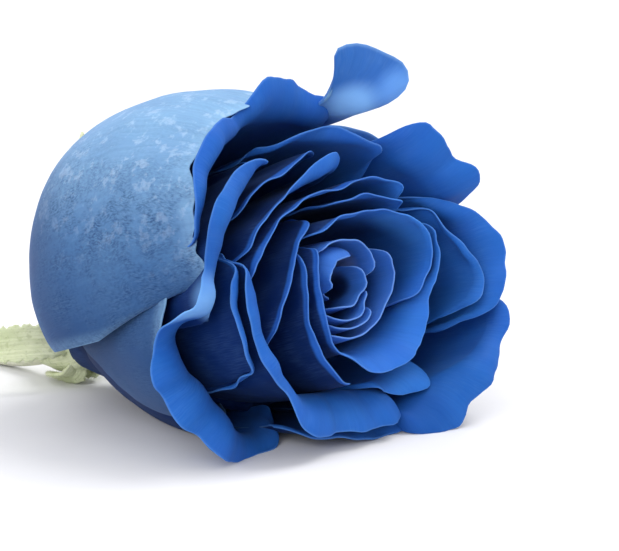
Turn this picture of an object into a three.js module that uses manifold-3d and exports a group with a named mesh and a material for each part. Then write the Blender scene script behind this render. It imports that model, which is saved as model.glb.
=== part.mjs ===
// A preserved blue rose: a large open bloom with its calyx and a short cut stem, lying on its side.
// Millimetres, +Z up. The bloom faces +X and a little up, the stem runs towards -X along the ground.

import * as THREE from 'three';
import { mergeVertices } from 'three/addons/utils/BufferGeometryUtils.js';
import Module from 'manifold-3d';

const wasm = await Module();
wasm.setup();

// Driving dimensions of the head: its axis rises towards the face of the bloom
const HEAD_TILT = 17;
const HEAD_LENGTH = 67;
const SEAT_HEIGHT = 8.2;

// Driving dimensions of a petal
const PETAL_THICKNESS = 0.7;
const CLAW_RADIUS = 2.6;
const CLAW_HEIGHT = 2.5;
const BODY_FULLNESS = 1.9;
const HEART_SWELL = 9;
const HEART_REACH = 24;
const LIP_LENGTH = 1.5;
const COLUMN_SPACING = 6;
const FEWEST_COLUMNS = 6;
const MOST_COLUMNS = 14;
const BODY_ROWS = [0, 0.4, 0.75, 1];
const LIP_ROWS = [0.5, 1];

// The core that the petals are sunk in, as [radius, height over the seat], and how deep a petal starts in it
const CORE_PROFILE = [[0, 0], [5, 0], [7.6, 6], [11, 15], [16.8, 32], [18.4, 42], [0, 43]];
const CORE_SIDES = 14;
const ROOT_DEPTH = 1.2;

// The hip under the seat, as [radius, height over the seat], and the gap that parts it from the petals
const CALYX_GAP = 0.3;
const HIP_PROFILE = [[0, -13.5], [2.2, -13.5], [3.1, -11], [4.3, -8], [4.9, -4], [5, -1.6], [4.6, -CALYX_GAP],
  [0, -CALYX_GAP]];
const HIP_SIDES = 16;

// The stem's middle line from inside the hip to its cut end, in mm along X, Y and Z
const STEM_RADIUS = 2.1;
const STEM_PATH = [[-72.7, 0, 5.8], [-80, 0, 3.7], [-88, 0.1, 2.4], [-98, 0.6, 2.1], [-112, 1.7, 2.1],
  [-126, 3.6, 2.1]];
const STEM_STEPS = 16;
const STEM_SIDES = 12;

// The sepals, each at a bearing round the head's axis: [radius, height over the seat, half the width] along it
const SEPAL_THICKNESS = 0.9;
const SEPAL_CHANNEL = 0.14;
const SEPALS = [
  { bearing: 0, ribs: [
    [3.4, -1.7, 2], [7.4, -1.4, 2.9], [12, 0.8, 3.5], [18, 3.8, 3.3], [25, 6.6, 2.5], [31.5, 8.9, 1.6],
    [37.4, 11, 0.7]] },
  { bearing: 64, ribs: [
    [3.4, -1.7, 2], [7.4, -1.8, 2.9], [12, -3, 3.5], [16.6, -6, 3.2], [20, -10.6, 2.4], [22, -16, 1.5],
    [22.8, -21.5, 0.7]] },
  { bearing: 134, ribs: [
    [3.4, -1.7, 1.8], [5.9, -3, 2.4], [6.1, -6, 2.3], [5.5, -9, 1.7], [4.8, -12.2, 0.7]] },
  { bearing: 208, ribs: [
    [3.4, -1.7, 1.8], [5.8, -3, 2.4], [5.7, -6, 2.2], [5, -9, 1.6], [4.3, -12, 0.7]] },
  { bearing: 280, ribs: [
    [3.4, -1.7, 2], [7.4, -2, 2.9], [11.6, -3.8, 3.4], [15, -7.6, 3], [16.8, -12.6, 2.2], [17.4, -17.6, 1.4],
    [17, -22, 0.7]] },
];

// The petals, from the heart outwards. A rib is [bearing, radius, height, lip, turn, fullness, sway]: the
// petal's crest lies at that bearing round the head's axis (0 up, 90 towards +Y), radius from the axis and
// height over the seat. Past the crest a lip of that length bends until it leans that many degrees away from
// the axis. The fullness says how soon the petal swells below its crest, and the sway by how many degrees
// the lip's end is shifted round the axis. The last four may be left out.
const PETALS = [
  { name: 'heart', ribs: [
    [140, 3.4, 50], [170, 3.2, 60], [215, 2.8, 61.5], [270, 2.4, 61.5], [330, 2, 58]] },
  { name: 'cap', ribs: [
    [222, 4.4, 56], [242, 3.9, 65], [262, 3.7, 65.5], [287, 4.1, 64.5, 3, -50], [325, 4.8, 64, 4, -70],
    [365, 5, 64, 4, -70], [395, 4.8, 64.5, 3, -50], [415, 4.4, 58]] },
  { name: 'bud_mouth', ribs: [
    [56, 4.6, 54], [72, 4.4, 64], [103, 5.4, 65], [120, 5.3, 65], [134, 4.9, 64.5], [160, 5.1, 65],
    [186, 5, 65], [206, 5.4, 63.5], [222, 5.6, 54]] },
  { name: 'bud_cheek', ribs: [
    [304, 6, 56], [322, 5.8, 65], [345, 5.6, 65.5], [378, 5.9, 66], [404, 6.8, 66], [430, 7.7, 65.5],
    [450, 7.2, 65], [464, 6.8, 56]] },
  { name: 'bud_fold', ribs: [
    [104, 6.4, 54], [118, 6.2, 64], [142, 6.2, 65], [161, 6.8, 65.5], [180, 7.2, 65.5], [205, 7.4, 65],
    [226, 6.8, 63], [244, 5.9, 60], [256, 5.4, 50]] },
  { name: 'bud_cuff', ribs: [
    [122, 7.7, 54], [138, 7.8, 64], [161, 8.2, 65.5], [182, 8.5, 65.5], [202, 8.7, 65], [214, 8.3, 62],
    [224, 7.8, 54]] },
  { name: 'crescent', ribs: [
    [60, 11.6, 54], [76, 11.8, 64.5], [92, 12, 65.5], [108, 11, 65.5], [126, 10, 65.5], [150, 9.7, 65.5],
    [177, 9.9, 65.5], [202, 10.4, 65.5], [213, 10.1, 63], [222, 8.8, 54]] },
  { name: 'cup', ribs: [
    [66, 21.4, 52], [75, 23.4, 65.5], [84, 23.3, 66.5], [94, 22.2, 66], [105, 18.6, 63, 4.5, 48],
    [118, 16.4, 60.6, 7.6, 58], [134, 15, 59, 9.6, 64], [150, 13.4, 58.6, 10, 66],
    [168, 12.2, 59, 9.6, 64], [182, 12, 60.6, 7.6, 54], [197, 12, 63.2, 4, 34], [212, 11.8, 65.6, 2, 15],
    [228, 9.9, 66.5], [250, 7.6, 66.5], [285, 7, 66.5], [314, 7.2, 65], [330, 7.4, 56]] },
  { name: 'cup_roof', ribs: [
    [316, 8.4, 54], [332, 8.3, 64.5], [348, 8.6, 66.5], [384, 10.1, 66.5], [400, 12.8, 66.5],
    [415, 15.8, 66.5], [425, 18.8, 66.5], [434, 21.4, 66.5], [443, 21.5, 66.5], [451, 20.4, 66.5],
    [459, 18.4, 66], [468, 16.3, 65], [476, 15, 56]] },
  { name: 'cup_side', ribs: [
    [176, 16.6, 54], [186, 17.2, 63], [199, 16.6, 65], [212, 15.2, 65.5], [225, 13.5, 65.5],
    [237, 11.8, 65.5], [253, 10, 65.5], [270, 9, 65.5], [288, 8.6, 65.5], [304, 9, 63], [316, 9.4, 54]] },
  { name: 'veil', ribs: [
    [228, 16.4, 48], [240, 17.4, 60], [252, 16.2, 64.5], [260, 14.4, 65.5], [270, 12.6, 65.5],
    [282, 11.1, 65.5], [300, 10.4, 65.5], [320, 10, 65], [340, 10.4, 63], [356, 11, 54]] },
  { name: 'brow', ribs: [
    [358, 12, 54], [372, 12.2, 64], [386, 13.4, 65.5], [400, 15.8, 65.5], [412, 18.6, 65.5],
    [421, 21, 64.5], [430, 20.4, 54]] },
  { name: 'arch', ribs: [
    [264, 17.4, 52], [274, 18.6, 63], [285, 17.6, 64.5], [300, 15.6, 64.5], [321, 14.2, 64.5],
    [345, 13.6, 65], [367, 13.8, 65], [383, 15.9, 65], [395, 18.4, 65], [408, 21.8, 65], [418, 23, 64],
    [427, 22.4, 54]] },
  { name: 'arch_back', ribs: [
    [278, 18.6, 52], [288, 19, 63], [299, 18.4, 64.5], [313, 16.6, 64.5], [330, 15.8, 64.2, 2, 30],
    [346, 15.2, 63.4, 3.6, 66], [361, 15.8, 62.8, 5.4, 80], [373, 17.4, 62.6, 5.4, 72],
    [383, 18.8, 61.2, 2.4, 40], [391, 18.8, 52]] },
  { name: 'rim_top_back', ribs: [
    [298, 19.4, 52], [308, 20.2, 61], [321, 19.8, 63], [336, 19, 63.5], [350, 19.2, 63.5], [362, 20.6, 63],
    [371, 20.8, 60], [379, 20.2, 50]] },
  { name: 'underlip', ribs: [
    [124, 22, 46], [128, 22.6, 55, 4, 80], [133, 22.2, 57, 8, 92], [138, 21.4, 57.5, 9, 95],
    [144, 20.6, 58, 8, 95], [150, 19.8, 58.5, 6.5, 95], [156, 19.1, 59.5, 4, 90], [161, 18.6, 60, 2, 60],
    [166, 18.2, 50]] },
  { name: 'apron', ribs: [
    [142, 21.6, 44], [150, 21, 54, 7, 85], [160, 19.6, 56.5, 10.4, 96], [172, 18.2, 57.5, 10.8, 102],
    [184, 17.8, 57.5, 9.8, 106], [196, 17.8, 57.5, 10.6, 108], [206, 18.2, 58, 11.6, 108],
    [215, 19, 59.5, 9.2, 102], [223, 19.8, 61.5, 5.2, 98], [231, 20.8, 63, 3.4, 105],
    [241, 20.3, 64, 3.8, 120], [255, 19.4, 64.5, 4, 120], [270, 19.4, 65, 3.4, 110],
    [283, 20.4, 64, 1.5, 60], [292, 19.8, 54]] },
  { name: 'apron_back', ribs: [
    [230, 21.2, 42], [233, 21.8, 54, 1.5, 60], [237, 22.1, 60.4, 1.5, 100], [244, 22.3, 62.6, 2, 118],
    [252, 22.2, 63.4, 2, 120], [262, 22.2, 64, 2, 118], [273, 21.7, 64, 2, 110], [284, 21.6, 62],
    [293, 20.4, 52]] },
  { name: 'cheek', ribs: [
    [60, 23, 54], [70, 25, 65], [80, 25.8, 68], [90, 28, 68.5, 1.5, 30], [97, 29.8, 68.5, 2, 60],
    [102, 29.2, 68, 2.5, 90], [108, 27.6, 66, 2, 60], [115, 25, 54]] },
  { name: 'crown_left', ribs: [
    [346, 22.2, 48], [356, 23, 60, 2, 30], [370, 23.2, 63, 3, 45], [382, 23.4, 64, 3, 45],
    [392, 24, 64, 3, 45], [402, 24.4, 61, 4, 50], [410, 23.6, 50]] },
  { name: 'rim_left', ribs: [
    [187, 17.6, 44, 2, 30], [194, 20.4, 46.4, 5, 70], [202, 23.2, 47.6, 7, 88], [211, 24.2, 48, 9, 98],
    [220, 23.9, 48, 12.2, 102], [228, 23.5, 48, 14.3, 106], [232.5, 23.5, 48, 13.7, 110],
    [239, 23.6, 48, 15.3, 114], [244, 23.9, 48, 13.9, 115], [247.5, 24.2, 48, 12.7, 115],
    [252, 24.6, 48, 13.7, 115], [258, 24.3, 48, 12.6, 113, 1.9, -2], [262, 23.8, 49, 11, 110, 1.9, -2],
    [264.5, 24.1, 51.5, 10.3, 106, 1.9, -1], [265, 24.3, 54, 9.8, 105], [263, 24.3, 57, 8.5, 108, 1.9, 4],
    [263.5, 24.4, 59.5, 7, 112, 1.9, 5], [267, 25.1, 61.8, 5.5, 120, 1.9, 5],
    [273, 25.4, 63.2, 4.5, 125, 1.9, 3], [280, 25, 64, 4.4, 128], [290, 24.2, 64, 4.8, 125],
    [301, 23.3, 64, 5.2, 122], [314, 22.6, 64, 5, 116], [326, 22.2, 63.8, 3, 80], [334, 21.9, 63, 1.5, 20],
    [341, 21.8, 52]] },
  { name: 'shoulder_top', ribs: [
    [58, 24.8, 52], [67, 27.6, 62, 2.5, 40], [77, 30.2, 64, 6, 60], [85, 32, 64.8, 7.4, 66],
    [92, 32.6, 65, 7.8, 67], [98, 32, 65.4, 7, 67], [103, 31.2, 65.6, 6.4, 70], [107, 30.6, 65.4, 5.4, 76],
    [110, 30, 63, 3, 60], [114, 28.6, 50]] },
  { name: 'shoulder', ribs: [
    [90, 25, 46], [95, 31, 59, 1.5, 30], [99.5, 33.4, 63.6, 2.6, 60], [104, 35.2, 65.4, 3.4, 86],
    [110, 35.6, 65.8, 4, 94], [118, 33.4, 65.4, 5.2, 98], [124, 31.2, 64.4, 7, 99],
    [130, 29.2, 62.8, 9, 100], [136, 27.8, 61, 11, 101], [143, 26.6, 58.6, 12.4, 102],
    [149, 25.4, 56.5, 12.8, 101], [154, 23.6, 54.5, 9, 92], [158, 21.4, 48, 2, 60]] },
  { name: 'crown_right', ribs: [
    [32, 25, 50], [39, 26.6, 60, 4, 45], [45, 27.2, 62, 11, 60], [53, 27.8, 62.5, 10, 60],
    [61, 29, 63, 9.5, 60], [67, 30.2, 63, 11, 60], [73, 31.4, 61, 9, 60], [79, 32.2, 54, 4, 50],
    [85, 32.6, 44]] },
  { name: 'chin', ribs: [
    [140, 24.6, 42], [145, 26.6, 52, 4, 60, 1.7], [151, 26.9, 55.5, 5, 68, 1.6],
    [159, 26, 56.5, 5, 68, 1.5], [169, 24.6, 56.5, 4.6, 62, 1.5], [182, 23.6, 56.5, 4.5, 56, 1.6],
    [192, 22.9, 55, 4.5, 56, 1.7], [200, 22.2, 50, 2, 40, 1.7]] },
  { name: 'rim_top', ribs: [
    [276, 26.8, 42], [283, 26.4, 54], [291, 25.6, 60.5, 2, 110], [300, 26.6, 62, 2.6, 120],
    [309, 27.8, 62, 4, 120], [319, 28.4, 62, 4.6, 118], [329, 28, 61.5, 4.2, 112],
    [338, 27.5, 60, 3.2, 105], [344, 27.4, 58.4, 3.8, 100], [349, 27.4, 57.4, 6.4, 98],
    [353, 27.3, 57, 9, 97], [358, 27.2, 57, 9.6, 98], [365, 27.2, 57, 9, 97], [370, 27.3, 57, 7.6, 94],
    [374.5, 27.4, 57, 6.4, 92, 1.9, 0.6], [378.5, 27.5, 56.8, 6.8, 90, 1.9, 2.4],
    [381.5, 27.6, 55.6, 6.2, 84, 1.9, 4.4], [383.5, 27.8, 52, 3, 50, 1.9, 3], [387, 28, 44, 1.5, 20]] },
  { name: 'guard_low', ribs: [
    [200, 14.2, 30], [208, 18.2, 40], [218, 22.4, 45.5, 2, 30, 1.6], [232, 26, 48.5, 2, 35, 1.5],
    [246, 28, 49.5, 2, 35, 1.5], [257, 28, 50, 2, 30, 1.6], [267, 27, 51.5, 2, 20], [277, 26, 52.5, 2, 10],
    [286, 25.6, 50], [292, 25.4, 38]] },
  { name: 'guard_near', ribs: [
    [266, 28, 38, 19, -20, 2.4, 10], [270, 29, 40, 21, -26, 2.6, 6], [278, 30, 41, 21.5, -30, 2.8, 2],
    [290, 31.4, 41, 21.5, -31, 3], [310, 34.3, 41, 21.5, -26, 3.2], [328, 36.3, 41, 21, -33, 3.4],
    [340, 36.7, 41, 21.6, -36, 3.5], [347, 36.8, 41, 21.2, -36, 3.6], [353, 36.7, 40.8, 19.2, -30, 3.6],
    [362, 35.4, 39.6, 17, -26, 3.4], [372, 32.8, 35, 8.6, -15, 3]] },
  { name: 'banner', ribs: [
    [13, 29.6, 46, 1.5, 0, 2.6], [16, 29.6, 57, 2, 20, 2.6], [17.5, 29.6, 59.5, 8, 50, 2.6, -4],
    [18.4, 29.6, 60.2, 12.8, 60, 2.6, -10.4], [19.2, 29.6, 60.4, 15, 62, 2.6, -7.5],
    [20.2, 29.6, 60.6, 15.6, 60, 2.6, 0], [21.2, 29.6, 60.6, 15, 58, 2.6, 7.2],
    [22.2, 29.6, 60.2, 12.2, 50, 2.6, 11.4], [23.4, 29.6, 58.6, 6, 40, 2.6, 9.4],
    [27, 29.8, 46, 1.5, 0, 2.6]] },
  { name: 'guard_far', ribs: [
    [27, 32, 34, 1.5, 0, 2.6], [36, 33, 48, 3, 40, 2.6], [50, 34, 52, 5, 50, 2.6],
    [66, 34.4, 53, 5, 50, 2.6], [82, 34, 51, 4, 50, 2.6], [94, 32.6, 45, 2, 30, 2.6],
    [102, 31.2, 34, 1.5, 0, 2.6]] },
  { name: 'guard_floor', ribs: [
    [90, 26, 34, 1.5, 0, 2], [100, 29.4, 47, 2, 30, 2.4], [114, 29.4, 50, 3, 40, 2.2],
    [124, 28.8, 49, 3, 40, 2], [131, 27.6, 44, 1.5, 0, 1.8], [138, 24.2, 34, 1.5, 0, 1.6]] },
];

const radians = THREE.MathUtils.degToRad;

// The frame of the head: the seat lies under the petals, the axis rises from it through the face
const HEAD_AXIS = new THREE.Vector3(Math.cos(radians(HEAD_TILT)), 0, Math.sin(radians(HEAD_TILT)));
const HEAD_UP = new THREE.Vector3(-HEAD_AXIS.z, 0, HEAD_AXIS.x);
const HEAD_SIDE = new THREE.Vector3(0, 1, 0);
const SEAT = new THREE.Vector3(-HEAD_LENGTH * HEAD_AXIS.x, 0, SEAT_HEIGHT);

function headPoint(bearing, radius, height) {
  return SEAT.clone()
    .addScaledVector(HEAD_AXIS, height)
    .addScaledVector(HEAD_UP, radius * Math.cos(radians(bearing)))
    .addScaledVector(HEAD_SIDE, radius * Math.sin(radians(bearing)));
}

// Curve through values chosen by hand, by Catmull and Rom's rule; place runs from 0 to the last index
function through(values, place) {
  const last = values.length - 1;
  const index = Math.min(Math.floor(place), last - 1);
  const t = place - index;
  const at = (k) => values[Math.min(Math.max(k, 0), last)];
  const [a, b, c, d] = [at(index - 1), at(index), at(index + 1), at(index + 2)];
  return b + 0.5 * t * (c - a + t * (2 * a - 5 * b + 4 * c - d + t * (3 * (b - c) + d - a)));
}

function ribAt(petal, place) {
  const pick = (index, fallback) => through(petal.ribs.map((rib) => rib[index] ?? fallback), place);
  return {
    bearing: pick(0), radius: pick(1), height: pick(2),
    lip: Math.max(pick(3, LIP_LENGTH), 0.8), turn: radians(pick(4, 0)), fullness: pick(5, BODY_FULLNESS),
    sway: pick(6, 0),
  };
}

// Distance from the axis that a rib's body keeps at a part of its rise from the claw to the crest
function bodyRadius(rib, rise) {
  const opened = 1 - (1 - rise) ** rib.fullness;
  const swell = HEART_SWELL * Math.max(1 - rib.radius / HEART_REACH, 0);
  return CLAW_RADIUS + (rib.radius - CLAW_RADIUS) * opened + swell * rise * rise * (1 - rise);
}

function coreRadius(height) {
  const k = CORE_PROFILE.findIndex(([, level]) => level > height);
  if (k < 0) return 0;
  const [[r0, h0], [r1, h1]] = [CORE_PROFILE[k - 1], CORE_PROFILE[k]];
  return r0 + (r1 - r0) * (height - h0) / (h1 - h0);
}

// Part of its rise where a rib starts, just inside the core
function rootRise(rib) {
  let rise = 1;
  const inside = () => coreRadius(CLAW_HEIGHT + (rib.height - CLAW_HEIGHT) * rise) - ROOT_DEPTH;
  while (rise > 0 && bodyRadius(rib, rise) > inside()) rise -= 0.01;
  return Math.max(rise, 0);
}

// A point of a rib's middle line: t runs from 0 at its root to 1 at the crest and on to 2 at the lip's end
function ribPoint(rib, t) {
  const span = rib.height - CLAW_HEIGHT;
  const root = rootRise(rib);
  const rise = root + (1 - root) * Math.min(t, 1);
  let radius = bodyRadius(rib, rise);
  let height = CLAW_HEIGHT + span * rise;
  if (t > 1) {
    const lean = Math.atan2(bodyRadius(rib, 1) - bodyRadius(rib, 0.98), 0.02 * span);
    const bend = rib.turn - lean || 1e-3;
    const reached = lean + bend * (t - 1);
    radius += rib.lip / bend * (Math.cos(lean) - Math.cos(reached));
    height += rib.lip / bend * (Math.sin(reached) - Math.sin(lean));
  }
  return headPoint(rib.bearing + rib.sway * Math.max(t - 1, 0), radius, height);
}

// Places along the petal's ribs that are evenly spaced on its crest
function evenPlaces(petal) {
  const steps = (petal.ribs.length - 1) * 8;
  const crest = Array.from({ length: steps + 1 }, (_, k) => ribPoint(ribAt(petal, k / 8), 1));
  const run = [0];
  for (let k = 1; k <= steps; k++) run.push(run[k - 1] + crest[k].distanceTo(crest[k - 1]));
  const columns = THREE.MathUtils.clamp(Math.round(run[steps] / COLUMN_SPACING), FEWEST_COLUMNS, MOST_COLUMNS);
  return Array.from({ length: columns + 1 }, (_, column) => {
    const goal = run[steps] * column / columns;
    const k = Math.min(Math.max(run.findIndex((length) => length >= goal), 1), steps);
    return (k - 1 + (goal - run[k - 1]) / (run[k] - run[k - 1])) / 8;
  });
}

// Grid of points on the petal's middle surface, one column for each place and one row for each height
function petalGrid(petal) {
  const rows = [...BODY_ROWS, ...LIP_ROWS.map((t) => 1 + t)];
  return evenPlaces(petal).map((place) => {
    const rib = ribAt(petal, place);
    return rows.map((t) => ribPoint(rib, t));
  });
}

// Closed solid round a grid of points: both faces are split along the same diagonals
function slab(grid, thickness) {
  const columns = grid.length;
  const rows = grid[0].length;
  const normals = grid.map((column, i) => column.map((_, j) => {
    const across = grid[Math.min(i + 1, columns - 1)][j].clone().sub(grid[Math.max(i - 1, 0)][j]);
    const along = grid[i][Math.min(j + 1, rows - 1)].clone().sub(grid[i][Math.max(j - 1, 0)]);
    return across.cross(along).normalize();
  }));
  const position = [];
  for (const side of [1, -1]) {
    grid.forEach((column, i) => column.forEach((point, j) => {
      position.push(...point.clone().addScaledVector(normals[i][j], side * thickness / 2));
    }));
  }
  const front = (i, j) => i * rows + j;
  const back = (i, j) => columns * rows + i * rows + j;
  const index = [];
  const quad = (a, b, c, d) => index.push(a, b, c, a, c, d);
  for (let i = 0; i < columns - 1; i++) {
    for (let j = 0; j < rows - 1; j++) {
      quad(front(i, j), front(i + 1, j), front(i + 1, j + 1), front(i, j + 1));
      index.push(back(i, j), back(i + 1, j + 1), back(i + 1, j));
      index.push(back(i, j), back(i, j + 1), back(i + 1, j + 1));
    }
    quad(front(i + 1, 0), front(i, 0), back(i, 0), back(i + 1, 0));
    quad(front(i, rows - 1), front(i + 1, rows - 1), back(i + 1, rows - 1), back(i, rows - 1));
  }
  for (let j = 0; j < rows - 1; j++) {
    quad(front(0, j), front(0, j + 1), back(0, j + 1), back(0, j));
    quad(front(columns - 1, j + 1), front(columns - 1, j), back(columns - 1, j), back(columns - 1, j + 1));
  }
  const geometry = new THREE.BufferGeometry();
  geometry.setAttribute('position', new THREE.Float32BufferAttribute(position, 3));
  geometry.setIndex(index);
  return geometry;
}

// Solids that can be joined and cut, and back
function toSolid(geometry) {
  geometry.deleteAttribute('normal');
  geometry.deleteAttribute('uv');
  const merged = mergeVertices(geometry, 1e-4);
  return new wasm.Manifold(new wasm.Mesh({
    numProp: 3,
    vertProperties: Float32Array.from(merged.attributes.position.array),
    triVerts: Uint32Array.from(merged.index.array),
  }));
}

function toGeometry(solid) {
  const { vertProperties, triVerts } = solid.getMesh();
  const geometry = new THREE.BufferGeometry();
  geometry.setAttribute('position', new THREE.BufferAttribute(vertProperties, 3));
  geometry.setIndex(new THREE.BufferAttribute(triVerts, 1));
  geometry.computeVertexNormals();
  return geometry;
}

// Turned body round the head's axis, from a profile of [radius, height] that starts and ends on the axis
function turned(profile, sides) {
  const points = profile.map(([radius, height]) => new THREE.Vector2(radius, height));
  const geometry = new THREE.LatheGeometry(points, sides);
  geometry.applyMatrix4(new THREE.Matrix4().makeBasis(HEAD_UP, HEAD_AXIS, HEAD_SIDE).setPosition(SEAT));
  return geometry;
}

function buildBloom() {
  const petals = PETALS.map((petal) => toSolid(slab(petalGrid(petal), PETAL_THICKNESS)));
  return petals.reduce((bloom, petal) => bloom.add(petal), toSolid(turned(CORE_PROFILE, CORE_SIDES)));
}

// Grid of points on a sepal's middle surface: its margins rise over its midrib like those of a shallow channel
function sepalGrid({ bearing, ribs }) {
  const across = headPoint(bearing + 90, 1, 0).sub(SEAT);
  const spine = ribs.map(([radius, height]) => headPoint(bearing, radius, height));
  return [-1, 0, 1].map((side) => spine.map((point, i) => {
    const along = spine[Math.min(i + 1, spine.length - 1)].clone().sub(spine[Math.max(i - 1, 0)]).normalize();
    const width = side * ribs[i][2];
    return point.clone().addScaledVector(across, width)
      .addScaledVector(along.cross(across), -Math.abs(width) * SEPAL_CHANNEL);
  }));
}

function buildStemAndCalyx() {
  const outline = new THREE.Shape().absarc(0, 0, STEM_RADIUS, 0, 2 * Math.PI);
  const path = new THREE.CatmullRomCurve3(STEM_PATH.map((point) => new THREE.Vector3(...point)));
  const sweep = { curveSegments: STEM_SIDES / 2, steps: STEM_STEPS, extrudePath: path };
  const stem = toSolid(new THREE.ExtrudeGeometry(outline, sweep));
  const sepals = SEPALS.map((sepal) => toSolid(slab(sepalGrid(sepal), SEPAL_THICKNESS)));
  return sepals.reduce((calyx, sepal) => calyx.add(sepal), toSolid(turned(HIP_PROFILE, HIP_SIDES)).add(stem));
}

// The low points are pressed flat where the rose lies on the ground
function piece(name, solid, color, roughness) {
  const ground = toSolid(new THREE.BoxGeometry(400, 400, 40).translate(0, 0, -20));
  const mesh = new THREE.Mesh(
    toGeometry(solid.subtract(ground)),
    new THREE.MeshStandardMaterial({ color, roughness, metalness: 0 }),
  );
  mesh.name = name;
  return mesh;
}

const rose = new THREE.Group();
rose.add(
  piece('bloom', buildBloom(), 0x2a63b8, 0.75),
  piece('stem_and_calyx', buildStemAndCalyx(), 0xc9cfae, 0.65),
);

// The origin is the middle of the rose's box, at its base
const middle = new THREE.Box3().setFromObject(rose).getCenter(new THREE.Vector3());
rose.children.forEach((mesh) => mesh.geometry.translate(-middle.x, -middle.y, 0));

export default rose;
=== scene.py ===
"""A preserved blue rose lying on its side: an open bloom, its calyx and a short cut stem.

Shapes are given in millimetres and degrees, and finishes, lights and the camera in metres. Meshes are
made in metres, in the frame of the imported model.
"""

import logging
import math
from dataclasses import dataclass, replace
from enum import Enum
from functools import reduce

import bpy
import numpy as np
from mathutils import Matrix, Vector


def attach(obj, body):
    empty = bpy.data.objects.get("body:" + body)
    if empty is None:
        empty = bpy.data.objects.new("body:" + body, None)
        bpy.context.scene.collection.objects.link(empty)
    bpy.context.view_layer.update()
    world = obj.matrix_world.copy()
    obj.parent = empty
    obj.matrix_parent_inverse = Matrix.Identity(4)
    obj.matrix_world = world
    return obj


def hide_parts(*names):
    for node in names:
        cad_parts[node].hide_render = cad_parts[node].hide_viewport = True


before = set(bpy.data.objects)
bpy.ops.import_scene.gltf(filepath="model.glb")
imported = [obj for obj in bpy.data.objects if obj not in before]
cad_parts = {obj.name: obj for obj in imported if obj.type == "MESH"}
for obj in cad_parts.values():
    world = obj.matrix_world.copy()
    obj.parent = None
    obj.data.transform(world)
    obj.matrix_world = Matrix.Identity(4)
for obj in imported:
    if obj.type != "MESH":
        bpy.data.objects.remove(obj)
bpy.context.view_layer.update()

LOG = logging.getLogger("rose")
MM = 0.001
TINY = 1e-9
# Millimetres from a free margin, as marked on pieces that have none
NO_MARGIN = 9.0

Colour = tuple[float, float, float]


def linear(red: float, green: float, blue: float) -> Colour:
    """Turns a colour as a screen shows it into a linear one.

    Args:
        red: red, from 0 to 255.
        green: green, from 0 to 255.
        blue: blue, from 0 to 255.

    Returns:
        The linear colour, each part of it from 0 to 1.
    """
    def part(value: float) -> float:
        """Returns one part, linear."""
        share = value / 255
        return share / 12.92 if share <= 0.04045 else ((share + 0.055) / 1.055) ** 2.4
    return part(red), part(green), part(blue)


def through(values: np.ndarray, place: np.ndarray) -> np.ndarray:
    """Runs a smooth curve through rows of given values.

    Args:
        values: one row for each point the curve passes.
        place: where to read the curve, from 0 to the last row's number.

    Returns:
        One row for each place.
    """
    last = len(values) - 1
    index = np.minimum(np.floor(place).astype(int), last - 1)
    t = (place - index)[:, None]
    a, b, c, d = (values[np.clip(index + step, 0, last)] for step in (-1, 0, 1, 2))
    return b + 0.5 * t * (c - a + t * (2 * a - 5 * b + 4 * c - d + t * (3 * (b - c) + d - a)))


def smooth(value: np.ndarray, low: float, high: float) -> np.ndarray:
    """Rises softly from 0 at low to 1 at high.

    Args:
        value: the numbers to read it at.
        low: where the rise begins.
        high: where it ends.

    Returns:
        One number from 0 to 1 for each value.
    """
    t = np.clip((value - low) / (high - low), 0, 1)
    return t * t * (3 - 2 * t)


def run_along(line: np.ndarray) -> np.ndarray:
    """Measures the way along a line.

    Args:
        line: the line's points, by row.

    Returns:
        The length from the first point to each point.
    """
    return np.concatenate([[0], np.cumsum(np.linalg.norm(np.diff(line, axis=0), axis=-1))])


def grid_normals(grid: np.ndarray) -> np.ndarray:
    """Finds which way a grid of points faces.

    Args:
        grid: points by column, row and coordinate.

    Returns:
        A normal for each point.
    """
    normal = np.cross(np.gradient(grid, axis=0), np.gradient(grid, axis=1))
    return normal / (np.linalg.norm(normal, axis=-1, keepdims=True) + TINY)


@dataclass(frozen=True)
class HeadFrame:
    """The frame of the bloom: its axis rises from the seat through the face.

    A bearing of 0 is upwards round the axis, and 90 is towards +Y.
    """

    tilt: float = 17.0
    seat: tuple[float, float, float] = (-4.793, -1.81, 8.2)

    @property
    def axis(self) -> np.ndarray:
        """The way the bloom faces."""
        return np.array([math.cos(math.radians(self.tilt)), 0, math.sin(math.radians(self.tilt))])

    @property
    def up(self) -> np.ndarray:
        """The way of bearing 0."""
        return np.array([-self.axis[2], 0, self.axis[0]])

    def point(self, bearing: np.ndarray, radius: np.ndarray, height: np.ndarray) -> np.ndarray:
        """Places points round the axis.

        Args:
            bearing: degrees round the axis.
            radius: distance from the axis.
            height: distance from the seat, along the axis.

        Returns:
            Points of the row frame, in millimetres.
        """
        angle = np.radians(bearing)[..., None]
        side = np.array([0.0, 1.0, 0.0])
        out = np.cos(angle) * self.up + np.sin(angle) * side
        risen = np.asarray(height)[..., None] * self.axis
        return np.array(self.seat) + risen + np.asarray(radius)[..., None] * out

    def rings(self, bearing: np.ndarray, radius: np.ndarray, height: np.ndarray) -> np.ndarray:
        """Places rings of points round the axis.

        Args:
            bearing: degrees round the axis, one for each side.
            radius: distances from the axis, by ring and side.
            height: distances from the seat, one for each ring.

        Returns:
            Points in millimetres, by ring, side and coordinate.
        """
        return self.point(np.broadcast_to(bearing, radius.shape), radius,
                          np.broadcast_to(height[:, None], radius.shape))

    def on_axis(self, height: float) -> np.ndarray:
        """Returns the point of the axis at a distance from the seat, as one row."""
        return self.point(np.zeros(1), np.zeros(1), np.array([height]))


HEAD = HeadFrame()


class PetalKind(Enum):
    """Where a petal sits in the bloom."""

    HEART = "heart"
    INNER = "inner"
    RIM = "rim"
    OUTER = "outer"


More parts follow.
